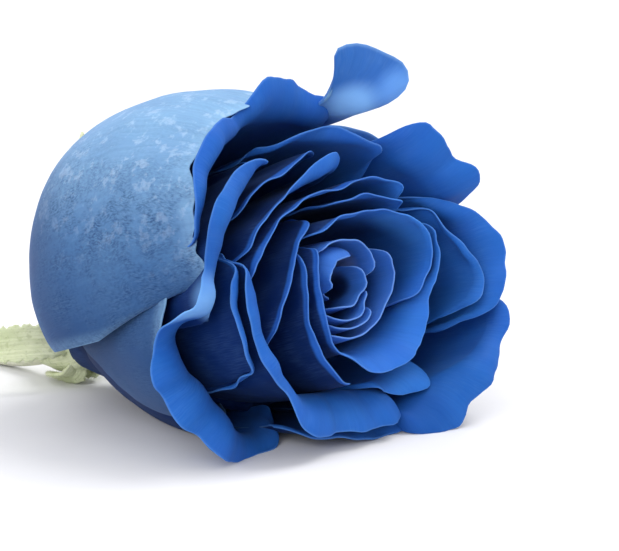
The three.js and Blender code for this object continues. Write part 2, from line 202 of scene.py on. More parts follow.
@dataclass(frozen=True)
class Ripple:
    """How far a petal's surface waves, how uneven its lip is, and how long the waves are."""

    margin: float
    body: float
    scallop: float
    notch: float
    wave: float


RIPPLES = {
    PetalKind.HEART: Ripple(margin=0.07, body=0.03, scallop=0.2, notch=0.02, wave=7),
    PetalKind.INNER: Ripple(margin=0.2, body=0.1, scallop=0.3, notch=0.02, wave=11),
    PetalKind.RIM: Ripple(margin=0.5, body=0.32, scallop=0.4, notch=0.03, wave=14),
    PetalKind.OUTER: Ripple(margin=0.4, body=0.25, scallop=0.35, notch=0.02, wave=17),
}


@dataclass(frozen=True)
class Wave:
    """One sine in a sum of waves: its height, and how it turns with the crest, the seed and the rise."""

    share: float
    crest: float
    phase: float
    rise: float = 0


CREST_WAVES = (Wave(1, 0.71, 1), Wave(0.6, 1.63, 2), Wave(0.3, 3.7, 1))
LIP_NOTCHES = (Wave(1, 1.31, -1), Wave(0.6, 2.3, 1), Wave(0.3, 4.7, -1))
MARGIN_CURLS = (Wave(1, 1, 1), Wave(0.5, 1.9, -1))
BODY_BUCKLES = (Wave(1, 0.43, 1, rise=3), Wave(0.5, 0.9, 2, rise=-4))


def waving(waves: tuple[Wave, ...], crest: np.ndarray, phase: float, rise: np.ndarray | float = 0.0
           ) -> np.ndarray:
    """Adds up some waves.

    Args:
        waves: the waves.
        crest: the run along the crest, as an angle.
        phase: the angle by which this petal's waves are moved.
        rise: 0 at the root, 1 at the crest and 2 at the lip's end.

    Returns:
        The height of the sum at each point.
    """
    return sum(
        wave.share * np.sin(crest * wave.crest + wave.rise * rise + wave.phase * phase) for wave in waves)


@dataclass(frozen=True)
class Slab:
    """A closed thin sheet round a grid of points, thin as a lens at its margins."""

    thickness: float
    edge: float = 0.3

    def build(self, name: str, grid: np.ndarray, marks: dict[str, np.ndarray]) -> bpy.types.Object:
        """Makes the sheet's object.

        Args:
            name: the piece's name.
            grid: points in millimetres, by column, row and coordinate.
            marks: values to keep on the mesh, by name, one for each point of the grid.

        Returns:
            The new object, with a mark called inner that is 1 on the face the grid's normals point from.
        """
        columns, rows = grid.shape[:2]
        near = np.minimum(margin_distance(grid, root=True) / self.edge, 1)
        half = self.thickness / 2 * np.sqrt(1 - (1 - near) ** 2)
        border = np.ones((columns, rows), bool)
        border[1:-1, 1:-1] = False
        half[border] = 0
        offset = grid_normals(grid) * half[..., None]
        outer = (grid - offset)[1:-1, 1:-1].reshape(-1, 3)
        points = np.concatenate([(grid + offset).reshape(-1, 3), outer])
        front = np.arange(columns * rows).reshape(columns, rows)
        back = front.copy()
        back[~border] = columns * rows + np.arange(len(outer))
        faces = np.concatenate([self._quads(front), self._quads(back)[:, ::-1]])
        values = {key: np.concatenate([mark.ravel(), mark[~border]]) for key, mark in marks.items()}
        face_of_front = np.where(border, 0.5, 1).ravel()
        values["inner"] = np.concatenate([face_of_front, np.zeros(len(outer))])
        return mesh_object(name, points, faces, values)

    @staticmethod
    def _quads(index: np.ndarray) -> np.ndarray:
        """Returns the corners of each cell of a grid of vertex numbers."""
        corners = [index[:-1, :-1], index[1:, :-1], index[1:, 1:], index[:-1, 1:]]
        return np.stack(corners, axis=-1).reshape(-1, 4)


def margin_distance(grid: np.ndarray, root: bool = False) -> np.ndarray:
    """Measures how far each point of a sheet is from its free margins.

    Args:
        grid: points in millimetres, by column, row and coordinate.
        root: also counts the first row as a margin.

    Returns:
        The shortest distance along the grid's own lines.
    """
    steps_up = np.linalg.norm(np.diff(grid, axis=1), axis=-1)
    steps_across = np.linalg.norm(np.diff(grid, axis=0), axis=-1)
    from_root = np.pad(np.cumsum(steps_up, axis=1), ((0, 0), (1, 0)))
    from_first = np.pad(np.cumsum(steps_across, axis=0), ((1, 0), (0, 0)))
    from_side = np.minimum(from_first, from_first[-1:] - from_first)
    nearest = np.minimum(from_root[:, -1:] - from_root, from_side)
    return np.minimum(nearest, from_root) if root else nearest


def in_scene(name: str, data: bpy.types.ID) -> bpy.types.Object:
    """Makes an object and links it to the scene.

    Args:
        name: its name.
        data: its mesh, curve, light or camera.

    Returns:
        The object.
    """
    made = bpy.data.objects.new(name, data)
    bpy.context.scene.collection.objects.link(made)
    return made


def mesh_object(name: str, points: np.ndarray, faces: np.ndarray | list, marks: dict[str, np.ndarray]
                ) -> bpy.types.Object:
    """Makes a smooth mesh object from points in millimetres.

    Args:
        name: the piece's name.
        points: one row for each vertex.
        faces: the vertex numbers of each face, anticlockwise from outside.
        marks: a number for each vertex, kept on the mesh under its name.

    Returns:
        The object, linked to the scene.
    """
    mesh = bpy.data.meshes.new(name)
    points = np.column_stack([points[:, :2], np.maximum(points[:, 2], 0)])
    mesh.from_pydata((points * MM).tolist(), [], [list(face) for face in faces])
    for key, values in marks.items():
        mark = mesh.attributes.new(key, "FLOAT", "POINT")
        mark.data.foreach_set("value", np.asarray(values, dtype=np.float32))
    mesh.polygons.foreach_set("use_smooth", np.ones(len(mesh.polygons), dtype=bool))
    mesh.update()
    return in_scene(name, mesh)


def rest_on_ground(points: np.ndarray, depth: float = 0.5) -> np.ndarray:
    """Presses points that would sink into the ground softly flat against it.

    Args:
        points: points in millimetres.
        depth: the height below which a point starts to be held up.

    Returns:
        The points, all above the ground.
    """
    held = points.copy()
    low = held[..., 2]
    held[..., 2] = np.where(low < depth, depth * np.exp(np.minimum(low / depth - 1, 0)), low)
    return held


@dataclass(frozen=True)
class Rib:
    """Columns of numbers that give the ribs of a petal, one row for each rib."""

    bearing: np.ndarray
    radius: np.ndarray
    height: np.ndarray
    lip: np.ndarray
    turn: np.ndarray
    fullness: np.ndarray
    sway: np.ndarray


@dataclass(frozen=True)
class PetalBody:
    """What all petals share: where they start, how they swell and how finely they are made.

    Columns and rows lie close at the margins, at the distances in close_set. The waves calm down over
    calm_ends from the petal's sides. They curl and buckle it over ranges of its rise, which is 0 at the
    root, 1 at the crest and 2 at the lip's end. The core's profile is given as radius and height.
    """

    claw_radius: float = 2.6
    claw_height: float = 2.5
    fullness: float = 1.9
    swell: float = 9
    swell_reach: float = 24
    lip: float = 1.5
    shortest_lip: float = 0.8
    root_depth: float = 1.2
    thickness: float = 0.28
    edge: float = 0.2
    column_spacing: float = 0.75
    fewest_columns: int = 12
    lip_spacing: float = 0.55
    lip_rows: tuple[int, int] = (5, 24)
    body_rows: int = 30
    close_set: tuple[float, ...] = (0, 0.02, 0.08)
    even_rows: float = 0.55
    calm_ends: float = 5
    phase_step: float = 2.4
    curled_from: tuple[float, float] = (0.75, 2)
    buckled_from: tuple[float, float] = (0.1, 0.7)
    core: tuple[tuple[float, float], ...] = (
        (0, 0), (5, 0), (7.6, 6), (11, 15), (16.8, 32), (18.4, 42), (0, 43))

    def core_radius(self, height: np.ndarray) -> np.ndarray:
        """Returns the core's radius at each height over the seat, and 0 above it."""
        radii, levels = zip(*self.core[1:-1])
        return np.where(height > self.core[-1][1], 0, np.interp(height, levels, radii))

    def radius(self, rib: Rib, rise: np.ndarray) -> np.ndarray:
        """Gives the distance that ribs keep from the axis.

        Args:
            rib: the ribs, one for each column.
            rise: the part of their rise from the claw to the crest.

        Returns:
            The distance at each part of the rise, in millimetres.
        """
        opened = 1 - (1 - np.minimum(rise, 1)) ** rib.fullness
        swell = self.swell * np.maximum(1 - rib.radius / self.swell_reach, 0)
        return self.claw_radius + (rib.radius - self.claw_radius) * opened + swell * rise * rise * (1 - rise)

    def root(self, rib: Rib) -> np.ndarray:
        """Finds where ribs start, just inside the core.

        Args:
            rib: the ribs, one for each column.

        Returns:
            The part of its rise where each rib starts, as a column.
        """
        rises = np.linspace(1, 0, 101)[None, :]
        height = self.claw_height + (rib.height - self.claw_height) * rises
        outside = self.radius(rib, rises) > self.core_radius(height) - self.root_depth
        first_inside = np.argmin(outside, axis=1)
        return np.where(outside.all(axis=1), 0, rises[0][first_inside])[:, None]

    def points(self, rib: Rib, t: np.ndarray, root: np.ndarray) -> np.ndarray:
        """Places points of a petal's middle surface.

        Args:
            rib: the ribs, one for each column.
            t: 0 at the root, 1 at the crest and 2 at the lip's end, by column and row.
            root: the part of its rise where each rib starts.

        Returns:
            Points in millimetres, by column, row and coordinate.
        """
        below_crest = 0.02
        straight = 1e-3
        span = rib.height - self.claw_height
        rise = root + (1 - root) * np.minimum(t, 1)
        past = np.maximum(t - 1, 0)
        widening = self.radius(rib, np.ones(1)) - self.radius(rib, np.full(1, 1 - below_crest))
        lean = np.arctan2(widening, below_crest * span)
        bend = rib.turn - lean
        bend = np.where(np.abs(bend) < straight, straight, bend)
        reached = lean + bend * past
        radius = self.radius(rib, rise) + rib.lip / bend * (np.cos(lean) - np.cos(reached))
        height = self.claw_height + span * rise + rib.lip / bend * (np.sin(reached) - np.sin(lean))
        return HEAD.point(rib.bearing + rib.sway * past, radius, height)


BODY = PetalBody()


@dataclass(frozen=True)
class Petal:
    """One petal, given by its ribs: bearing, radius, height, lip, turn, fullness and sway.

    The crest lies at that bearing, radius and height. Past it a lip of that length bends until it leans
    that many degrees away from the axis. The last four may be left out.
    """

    name: str
    kind: PetalKind
    ribs: tuple[tuple[float, ...], ...]

    def rib_at(self, place: np.ndarray) -> Rib:
        """Reads the ribs at some places.

        Args:
            place: numbers from 0 to the last rib's number.

        Returns:
            The ribs there, one for each column.
        """
        missing = (0, 0, 0, BODY.lip, 0, BODY.fullness, 0)
        table = np.array([[*rib, *missing[len(rib):]] for rib in self.ribs], dtype=float)
        rib = Rib(*through(table, place).T[..., None])
        return replace(rib, lip=np.maximum(rib.lip, BODY.shortest_lip), turn=np.radians(rib.turn))

    def _places(self) -> tuple[np.ndarray, np.ndarray]:
        """Spaces the columns evenly along the petal's lip, and closely at its ends.

        Returns:
            The columns' places among the ribs, and their run along the lip in millimetres.
        """
        samples = 400
        on_lip = np.full((samples, 1), 1.4)
        fine = np.linspace(0, len(self.ribs) - 1, samples)
        run = run_along(BODY.points(self.rib_at(fine), on_lip, np.zeros((samples, 1)))[:, 0])
        length = run[-1]
        count = max(int(length / BODY.column_spacing), BODY.fewest_columns)
        close = np.array(BODY.close_set)
        even = np.linspace(BODY.edge, length - BODY.edge, count)
        goals = np.concatenate([close, even, length - close[::-1]])
        return np.interp(goals, run, fine), goals

    def grid(self, seed: int) -> tuple[np.ndarray, dict[str, np.ndarray]]:
        """Lays out the petal's middle surface.

        Args:
            seed: sets where the waves of this petal fall.

        Returns:
            The grid of points in millimetres, and what is marked on it by name.
        """
        ripple = RIPPLES[self.kind]
        places, run = self._places()
        rib = self.rib_at(places)
        ends = smooth(np.minimum(run, run[-1] - run), 0, BODY.calm_ends)[:, None]
        phase = seed * BODY.phase_step
        crest = 2 * math.pi * run[:, None] / ripple.wave
        uneven = ripple.scallop / 2 * waving(CREST_WAVES, crest, phase) * ends
        ragged = ripple.notch * waving(LIP_NOTCHES, crest, phase) * ends
        rib = replace(rib, height=rib.height + uneven, lip=rib.lip * (1 + ragged))
        rows = np.linspace(0, 1, BODY.body_rows)
        rows = BODY.even_rows * rows + (1 - BODY.even_rows) * rows ** 2
        body = np.repeat(rows[None, :], len(places), axis=0)
        lip_rows = int(np.clip(np.max(rib.lip) / BODY.lip_spacing, *BODY.lip_rows))
        lip = 1 + (1 - BODY.edge / rib.lip) * np.linspace(0, 1, lip_rows + 1)[None, 1:]
        tips = 2 - np.array([BODY.close_set[::-1]]) / rib.lip
        t = np.concatenate([body, lip, tips], axis=1)
        grid = BODY.points(rib, t, BODY.root(rib))
        curl = ripple.margin * smooth(t, *BODY.curled_from) * waving(MARGIN_CURLS, crest, phase)
        buckle = ripple.body * smooth(t, *BODY.buckled_from) * ends * waving(BODY_BUCKLES, crest, phase, t)
        grid = rest_on_ground(grid + grid_normals(grid) * (curl + buckle)[..., None])
        up = np.linalg.norm(np.diff(grid, axis=1), axis=-1)
        marks = {
            "across": np.repeat(run[:, None], t.shape[1], axis=1),
            "along": np.pad(np.cumsum(up, axis=1), ((0, 0), (1, 0))),
            "margin": margin_distance(grid),
            "rise": np.minimum(t, 2) / 2,
        }
        return grid, marks


PETALS = (
    Petal("heart", PetalKind.HEART, (
        (140, 3.4, 50), (170, 3.2, 60), (215, 2.8, 61.5), (270, 2.4, 61.5), (330, 2.0, 58))),
    Petal("cap", PetalKind.HEART, (
        (222, 4.4, 56), (242, 3.9, 65), (262, 3.7, 65.5), (287, 4.1, 64.5, 3, -50), (325, 4.8, 64, 4, -70),
        (365, 5.0, 64, 4, -70), (395, 4.8, 64.5, 3, -50), (415, 4.4, 58))),
    Petal("bud_mouth", PetalKind.HEART, (
        (56, 4.6, 54), (72, 4.4, 64), (103, 5.4, 65), (120, 5.3, 65), (134, 4.9, 64.5), (160, 5.1, 65),
        (186, 5, 65), (206, 5.4, 63.5), (222, 5.6, 54))),
    Petal("bud_cheek", PetalKind.HEART, (
        (304, 6.0, 56), (322, 5.8, 65), (345, 5.6, 65.5), (378, 5.9, 66), (404, 6.8, 66), (430, 7.7, 65.5),
        (450, 7.2, 65), (464, 6.8, 56))),
    Petal("bud_fold", PetalKind.HEART, (
        (104, 6.4, 54), (118, 6.2, 64), (142, 6.2, 65), (161, 6.8, 65.5), (180, 7.2, 65.5), (205, 7.4, 65),
        (226, 6.8, 63), (244, 5.9, 60), (256, 5.4, 50))),
    Petal("bud_cuff", PetalKind.HEART, (
        (122, 7.7, 54), (138, 7.8, 64), (161, 8.2, 65.5), (182, 8.5, 65.5), (202, 8.7, 65), (214, 8.3, 62),
        (224, 7.8, 54))),
    Petal("crescent", PetalKind.HEART, (
        (60, 11.6, 54), (76, 11.8, 64.5), (92, 12, 65.5), (108, 11, 65.5), (126, 10, 65.5), (150, 9.7, 65.5),
        (177, 9.9, 65.5), (202, 10.4, 65.5), (213, 10.1, 63), (222, 8.8, 54))),
    Petal("cup", PetalKind.INNER, (
        (66, 21.4, 52), (75, 23.4, 65.5), (84, 23.3, 66.5), (94, 22.2, 66), (105, 18.6, 63, 4.5, 48),
        (118, 16.4, 60.6, 7.6, 58), (134, 15, 59, 9.6, 64), (150, 13.4, 58.6, 10, 66),
        (168, 12.2, 59, 9.6, 64), (182, 12, 60.6, 7.6, 54), (197, 12, 63.2, 4, 34), (212, 11.8, 65.6, 2, 15),
        (228, 9.9, 66.5), (250, 7.6, 66.5), (285, 7, 66.5), (314, 7.2, 65), (330, 7.4, 56))),
    Petal("cup_roof", PetalKind.INNER, (
        (316, 8.4, 54), (332, 8.3, 64.5), (348, 8.6, 66.5), (384, 10.1, 66.5), (400, 12.8, 66.5),
        (415, 15.8, 66.5), (425, 18.8, 66.5), (434, 21.4, 66.5), (443, 21.5, 66.5), (451, 20.4, 66.5),
        (459, 18.4, 66), (468, 16.3, 65), (476, 15, 56))),
    Petal("cup_side", PetalKind.INNER, (
        (176, 16.6, 54), (186, 17.2, 63), (199, 16.6, 65), (212, 15.2, 65.5), (225, 13.5, 65.5),
        (237, 11.8, 65.5), (253, 10, 65.5), (270, 9, 65.5), (288, 8.6, 65.5), (304, 9, 63), (316, 9.4, 54))),
    Petal("veil", PetalKind.INNER, (
        (228, 16.4, 48), (240, 17.4, 60), (252, 16.2, 64.5), (260, 14.4, 65.5), (270, 12.6, 65.5),
        (282, 11.1, 65.5), (300, 10.4, 65.5), (320, 10, 65), (340, 10.4, 63), (356, 11, 54))),
    Petal("brow", PetalKind.INNER, (
        (358, 12, 54), (372, 12.2, 64), (386, 13.4, 65.5), (400, 15.8, 65.5), (412, 18.6, 65.5),
        (421, 21, 64.5), (430, 20.4, 54))),
    Petal("arch", PetalKind.INNER, (
        (264, 17.4, 52), (274, 18.6, 63), (285, 17.6, 64.5), (300, 15.6, 64.5), (321, 14.2, 64.5),
        (345, 13.6, 65), (367, 13.8, 65), (383, 15.9, 65), (395, 18.4, 65), (408, 21.8, 65), (418, 23, 64),
        (427, 22.4, 54))),
    Petal("arch_back", PetalKind.INNER, (
        (278, 18.6, 52), (288, 19, 63), (299, 18.4, 64.5), (313, 16.6, 64.5), (330, 15.8, 64.2, 2, 30),
        (346, 15.2, 63.4, 3.6, 66), (361, 15.8, 62.8, 5.4, 80), (373, 17.4, 62.6, 5.4, 72),
        (383, 18.8, 61.2, 2.4, 40), (391, 18.8, 52))),
    Petal("rim_top_back", PetalKind.INNER, (
        (298, 19.4, 52), (308, 20.2, 61), (321, 19.8, 63), (336, 19, 63.5), (350, 19.2, 63.5),
        (362, 20.6, 63), (371, 20.8, 60), (379, 20.2, 50))),
    Petal("underlip", PetalKind.INNER, (
        (124, 22, 46), (128, 22.6, 55, 4, 80), (133, 22.2, 57, 8, 92), (138, 21.4, 57.5, 9, 95),
        (144, 20.6, 58, 8, 95), (150, 19.8, 58.5, 6.5, 95), (156, 19.1, 59.5, 4, 90), (161, 18.6, 60, 2, 60),
        (166, 18.2, 50))),
    Petal("apron", PetalKind.RIM, (
        (142, 21.6, 44), (150, 21, 54, 7, 85), (160, 19.6, 56.5, 10.4, 96), (172, 18.2, 57.5, 10.8, 102),
        (184, 17.8, 57.5, 9.8, 106), (196, 17.8, 57.5, 10.6, 108), (206, 18.2, 58, 11.6, 108),
        (215, 19, 59.5, 9.2, 102), (223, 19.8, 61.5, 5.2, 98), (231, 20.8, 63, 3.4, 105),
        (241, 20.3, 64, 3.8, 120), (255, 19.4, 64.5, 4, 120), (270, 19.4, 65, 3.4, 110),
        (283, 20.4, 64, 1.5, 60), (292, 19.8, 54))),
    Petal("apron_back", PetalKind.RIM, (
        (230, 21.2, 42), (233, 21.8, 54, 1.5, 60), (237, 22.1, 60.4, 1.5, 100), (244, 22.3, 62.6, 2, 118),
        (252, 22.2, 63.4, 2, 120), (262, 22.2, 64, 2, 118), (273, 21.7, 64, 2, 110), (284, 21.6, 62),
        (293, 20.4, 52))),
    Petal("cheek", PetalKind.RIM, (
        (60, 23, 54), (70, 25, 65), (80, 25.8, 68), (90, 28, 68.5, 1.5, 30), (97, 29.8, 68.5, 2, 60),
        (102, 29.2, 68, 2.5, 90), (108, 27.6, 66, 2, 60), (115, 25, 54))),
    Petal("crown_left", PetalKind.RIM, (
        (346, 22.2, 48), (356, 23, 60, 2, 30), (370, 23.2, 63, 3, 45), (382, 23.4, 64, 3, 45),
        (392, 24, 64, 3, 45), (402, 24.4, 61, 4, 50), (410, 23.6, 50))),
    Petal("rim_left", PetalKind.RIM, (
        (187, 17.6, 44, 2, 30), (194, 20.4, 46.4, 5, 70), (202, 23.2, 47.6, 7, 88), (211, 24.2, 48, 9, 98),
        (220, 23.9, 48, 12.2, 102), (228, 23.5, 48, 14.3, 106), (232.5, 23.5, 48, 13.7, 110),
        (239, 23.6, 48, 15.3, 114), (244, 23.9, 48, 13.9, 115), (247.5, 24.2, 48, 12.7, 115),
        (252, 24.6, 48, 13.7, 115), (258, 24.3, 48, 12.6, 113, 1.9, -2),
        (262, 23.8, 49, 11, 110, 1.9, -2), (264.5, 24.1, 51.5, 10.3, 106, 1.9, -1),
        (265, 24.3, 54, 9.8, 105), (263, 24.3, 57, 8.5, 108, 1.9, 4), (263.5, 24.4, 59.5, 7, 112, 1.9, 5),
        (267, 25.1, 61.8, 5.5, 120, 1.9, 5), (273, 25.4, 63.2, 4.5, 125, 1.9, 3), (280, 25, 64, 4.4, 128),
        (290, 24.2, 64, 4.8, 125), (301, 23.3, 64, 5.2, 122), (314, 22.6, 64, 5, 116),
        (326, 22.2, 63.8, 3, 80), (334, 21.9, 63, 1.5, 20), (341, 21.8, 52))),
    Petal("shoulder_top", PetalKind.RIM, (
        (58, 24.8, 52), (67, 27.6, 62, 2.5, 40), (77, 30.2, 64, 6, 60), (85, 32, 64.8, 7.4, 66),
        (92, 32.6, 65, 7.8, 67), (98, 32, 65.4, 7, 67), (103, 31.2, 65.6, 6.4, 70),
        (107, 30.6, 65.4, 5.4, 76), (110, 30, 63, 3, 60), (114, 28.6, 50))),
    Petal("shoulder", PetalKind.RIM, (
        (90, 25, 46), (95, 31, 59, 1.5, 30), (99.5, 33.4, 63.6, 2.6, 60), (104, 35.2, 65.4, 3.4, 86),
        (110, 35.6, 65.8, 4, 94), (118, 33.4, 65.4, 5.2, 98), (124, 31.2, 64.4, 7, 99),
        (130, 29.2, 62.8, 9, 100), (136, 27.8, 61, 11, 101), (143, 26.6, 58.6, 12.4, 102),
        (149, 25.4, 56.5, 12.8, 101), (154, 23.6, 54.5, 9, 92), (158, 21.4, 48, 2, 60))),
    Petal("crown_right", PetalKind.RIM, (
        (32, 25, 50), (39, 26.6, 60, 4, 45), (45, 27.2, 62, 11, 60), (53, 27.8, 62.5, 10, 60),
        (61, 29, 63, 9.5, 60), (67, 30.2, 63, 11, 60), (73, 31.4, 61, 9, 60), (79, 32.2, 54, 4, 50),
        (85, 32.6, 44))),
    Petal("chin", PetalKind.RIM, (
        (140, 24.6, 42), (145, 26.6, 52, 4, 60, 1.7), (151, 26.9, 55.5, 5, 68, 1.6),
        (159, 26, 56.5, 5, 68, 1.5), (169, 24.6, 56.5, 4.6, 62, 1.5), (182, 23.6, 56.5, 4.5, 56, 1.6),
        (192, 22.9, 55, 4.5, 56, 1.7), (200, 22.2, 50, 2, 40, 1.7))),
    Petal("rim_top", PetalKind.RIM, (
        (276, 25.6, 41), (283, 25.5, 53), (291, 25.6, 60, 1.6, 100), (300, 26.6, 62, 2.9, 120),
        (309, 27.8, 62, 5, 120), (319, 28.4, 62, 5.3, 118), (329, 28, 61.5, 4.9, 112),
        (338, 27.5, 60, 4.1, 105), (344, 27.4, 58.4, 4.8, 100), (349, 27.4, 57.4, 6.6, 98),
        (353, 27.3, 57, 9, 97), (358, 27.2, 57, 9.6, 98), (365, 27.2, 57, 9, 97), (370, 27.3, 57, 7.6, 94),
        (374.5, 27.4, 57, 6.4, 92, 1.9, 0.6), (378.5, 27.5, 56.8, 6.8, 90, 1.9, 2.4),
        (381.5, 27.6, 55.6, 6.2, 84, 1.9, 4.4), (383.5, 27.8, 52, 3, 50, 1.9, 3), (387, 28, 44, 1.5, 20))),
    Petal("guard_low", PetalKind.OUTER, (
        (200, 14.2, 30), (208, 18.2, 40), (218, 22.4, 45.5, 2, 30, 1.6), (232, 26, 48.5, 2, 35, 1.5),
        (246, 28, 49.5, 2, 35, 1.5), (257, 28, 50, 2, 30, 1.6), (267, 27, 51.5, 2, 20),
        (277, 26, 52.5, 2, 10), (286, 25.6, 50), (292, 25.4, 38))),
    Petal("guard_near", PetalKind.OUTER, (
        (266, 28, 38, 19, -20, 2.4, 10), (270, 29, 40, 21, -26, 2.6, 6), (278, 30, 41, 21.5, -30, 2.8, 2),
        (290, 31.4, 41, 21.5, -31, 3), (310, 34.3, 41, 21.5, -26, 3.2), (328, 36.3, 41, 21, -33, 3.4),
        (340, 36.7, 41, 21.6, -36, 3.5), (347, 36.8, 41, 21.2, -36, 3.6), (353, 36.7, 40.8, 19.2, -30, 3.6),
        (362, 35.4, 39.6, 17, -26, 3.4), (372, 32.8, 35, 8.6, -15, 3))),
    Petal("banner", PetalKind.OUTER, (
        (13, 29.6, 46, 1.5, 0, 2.6), (16, 29.6, 57, 2, 20, 2.6), (17.5, 29.6, 59.5, 8, 50, 2.6, -4),
        (18.4, 29.6, 60.2, 12.8, 60, 2.6, -10.4), (19.2, 29.6, 60.4, 15, 62, 2.6, -7.5),
        (20.2, 29.6, 60.6, 15.6, 60, 2.6, 0), (21.2, 29.6, 60.6, 15, 58, 2.6, 7.2),
        (22.2, 29.6, 60.2, 12.2, 50, 2.6, 11.4), (23.4, 29.6, 58.6, 6, 40, 2.6, 9.4),
        (27, 29.8, 46, 1.5, 0, 2.6))),
    Petal("guard_far", PetalKind.OUTER, (
        (27, 32, 34, 1.5, 0, 2.6), (36, 33, 48, 3, 40, 2.6), (50, 34, 52, 5, 50, 2.6),
        (66, 34.4, 53, 5, 50, 2.6), (82, 34, 51, 4, 50, 2.6), (94, 32.6, 45, 2, 30, 2.6),
        (102, 31.2, 34, 1.5, 0, 2.6))),
    Petal("guard_floor", PetalKind.OUTER, (
        (90, 26, 34, 1.5, 0, 2), (100, 29.4, 47, 2, 30, 2.4), (114, 29.4, 50, 3, 40, 2.2),
        (124, 28.8, 49, 3, 40, 2), (131, 27.6, 44, 1.5, 0, 1.8), (138, 24.2, 34, 1.5, 0, 1.6))),
)


class Graph:
    """Adds nodes to one node tree and joins them."""

    def __init__(self, tree: bpy.types.NodeTree) -> None:
        """Keeps the tree.

        Args:
            tree: the tree that takes the nodes.
        """
        self.tree = tree

    def node(self, kind: str, inputs: dict | None = None, **settings: object) -> bpy.types.Node:
        """Adds one node.

        Args:
            kind: the node's type.
            inputs: what goes in each socket, by name or number: another socket, or a plain value.
            settings: the node's own options.

        Returns:
            The node.
        """
        made = self.tree.nodes.new(kind)
        for key, value in settings.items():
            setattr(made, key, value)
        for key, value in (inputs or {}).items():
            socket = made.inputs[key]
            if isinstance(value, bpy.types.NodeSocket):
                self.tree.links.new(value, socket)
            elif isinstance(value, tuple) and len(value) == 3 and socket.type == "RGBA":
                socket.default_value = (*value, 1)
            else:
                socket.default_value = value
        return made

    def math(self, operation: str, first: object, second: object = 0.0) -> bpy.types.NodeSocket:
        """Returns the outcome of a sum on two numbers or sockets."""
        return self.node("ShaderNodeMath", {0: first, 1: second}, operation=operation).outputs[0]

    def times(self, *values: object) -> bpy.types.NodeSocket:
        """Returns the product of some numbers or sockets."""
        return reduce(lambda first, second: self.math("MULTIPLY", first, second), values)

    def mix(self, share: object, first: object, second: object) -> bpy.types.NodeSocket:
        """Returns a colour between two, the second where the share is 1."""
        return self.node("ShaderNodeMix", {0: share, 6: first, 7: second}, data_type="RGBA").outputs[2]

    def spread(self, value: object, low: float, high: float, start: float = 0, end: float = 1
               ) -> bpy.types.NodeSocket:
        """Returns a value moved softly from the range low to high into start to end."""
        inputs = {"Value": value, "From Min": low, "From Max": high, "To Min": start, "To Max": end}
        return self.node("ShaderNodeMapRange", inputs, interpolation_type="SMOOTHSTEP").outputs[0]

    def mark(self, name: str) -> bpy.types.NodeSocket:
        """Returns a number marked on the mesh under that name."""
        return self.node("ShaderNodeAttribute", attribute_name=name).outputs["Fac"]

    def place(self) -> bpy.types.NodeSocket:
        """Returns the point's place on the piece, in metres."""
        return self.node("ShaderNodeTexCoord").outputs["Object"]

    def noise(self, scale: object, detail: float, **inputs: object) -> bpy.types.NodeSocket:
        """Returns soft noise over the piece, with any further inputs by name."""
        given = {"Vector": self.place(), "Scale": scale, "Detail": detail, **inputs}
        return self.node("ShaderNodeTexNoise", given).outputs["Fac"]

    def bump(self, height: object, strength: float, depth: float, **inputs: object) -> bpy.types.NodeSocket:
        """Returns normals raised by a height, to a depth in metres."""
        given = {"Height": height, "Strength": strength, "Distance": depth, **inputs}
        return self.node("ShaderNodeBump", given).outputs[0]


NOISE_RANGE = (0.3, 0.7)


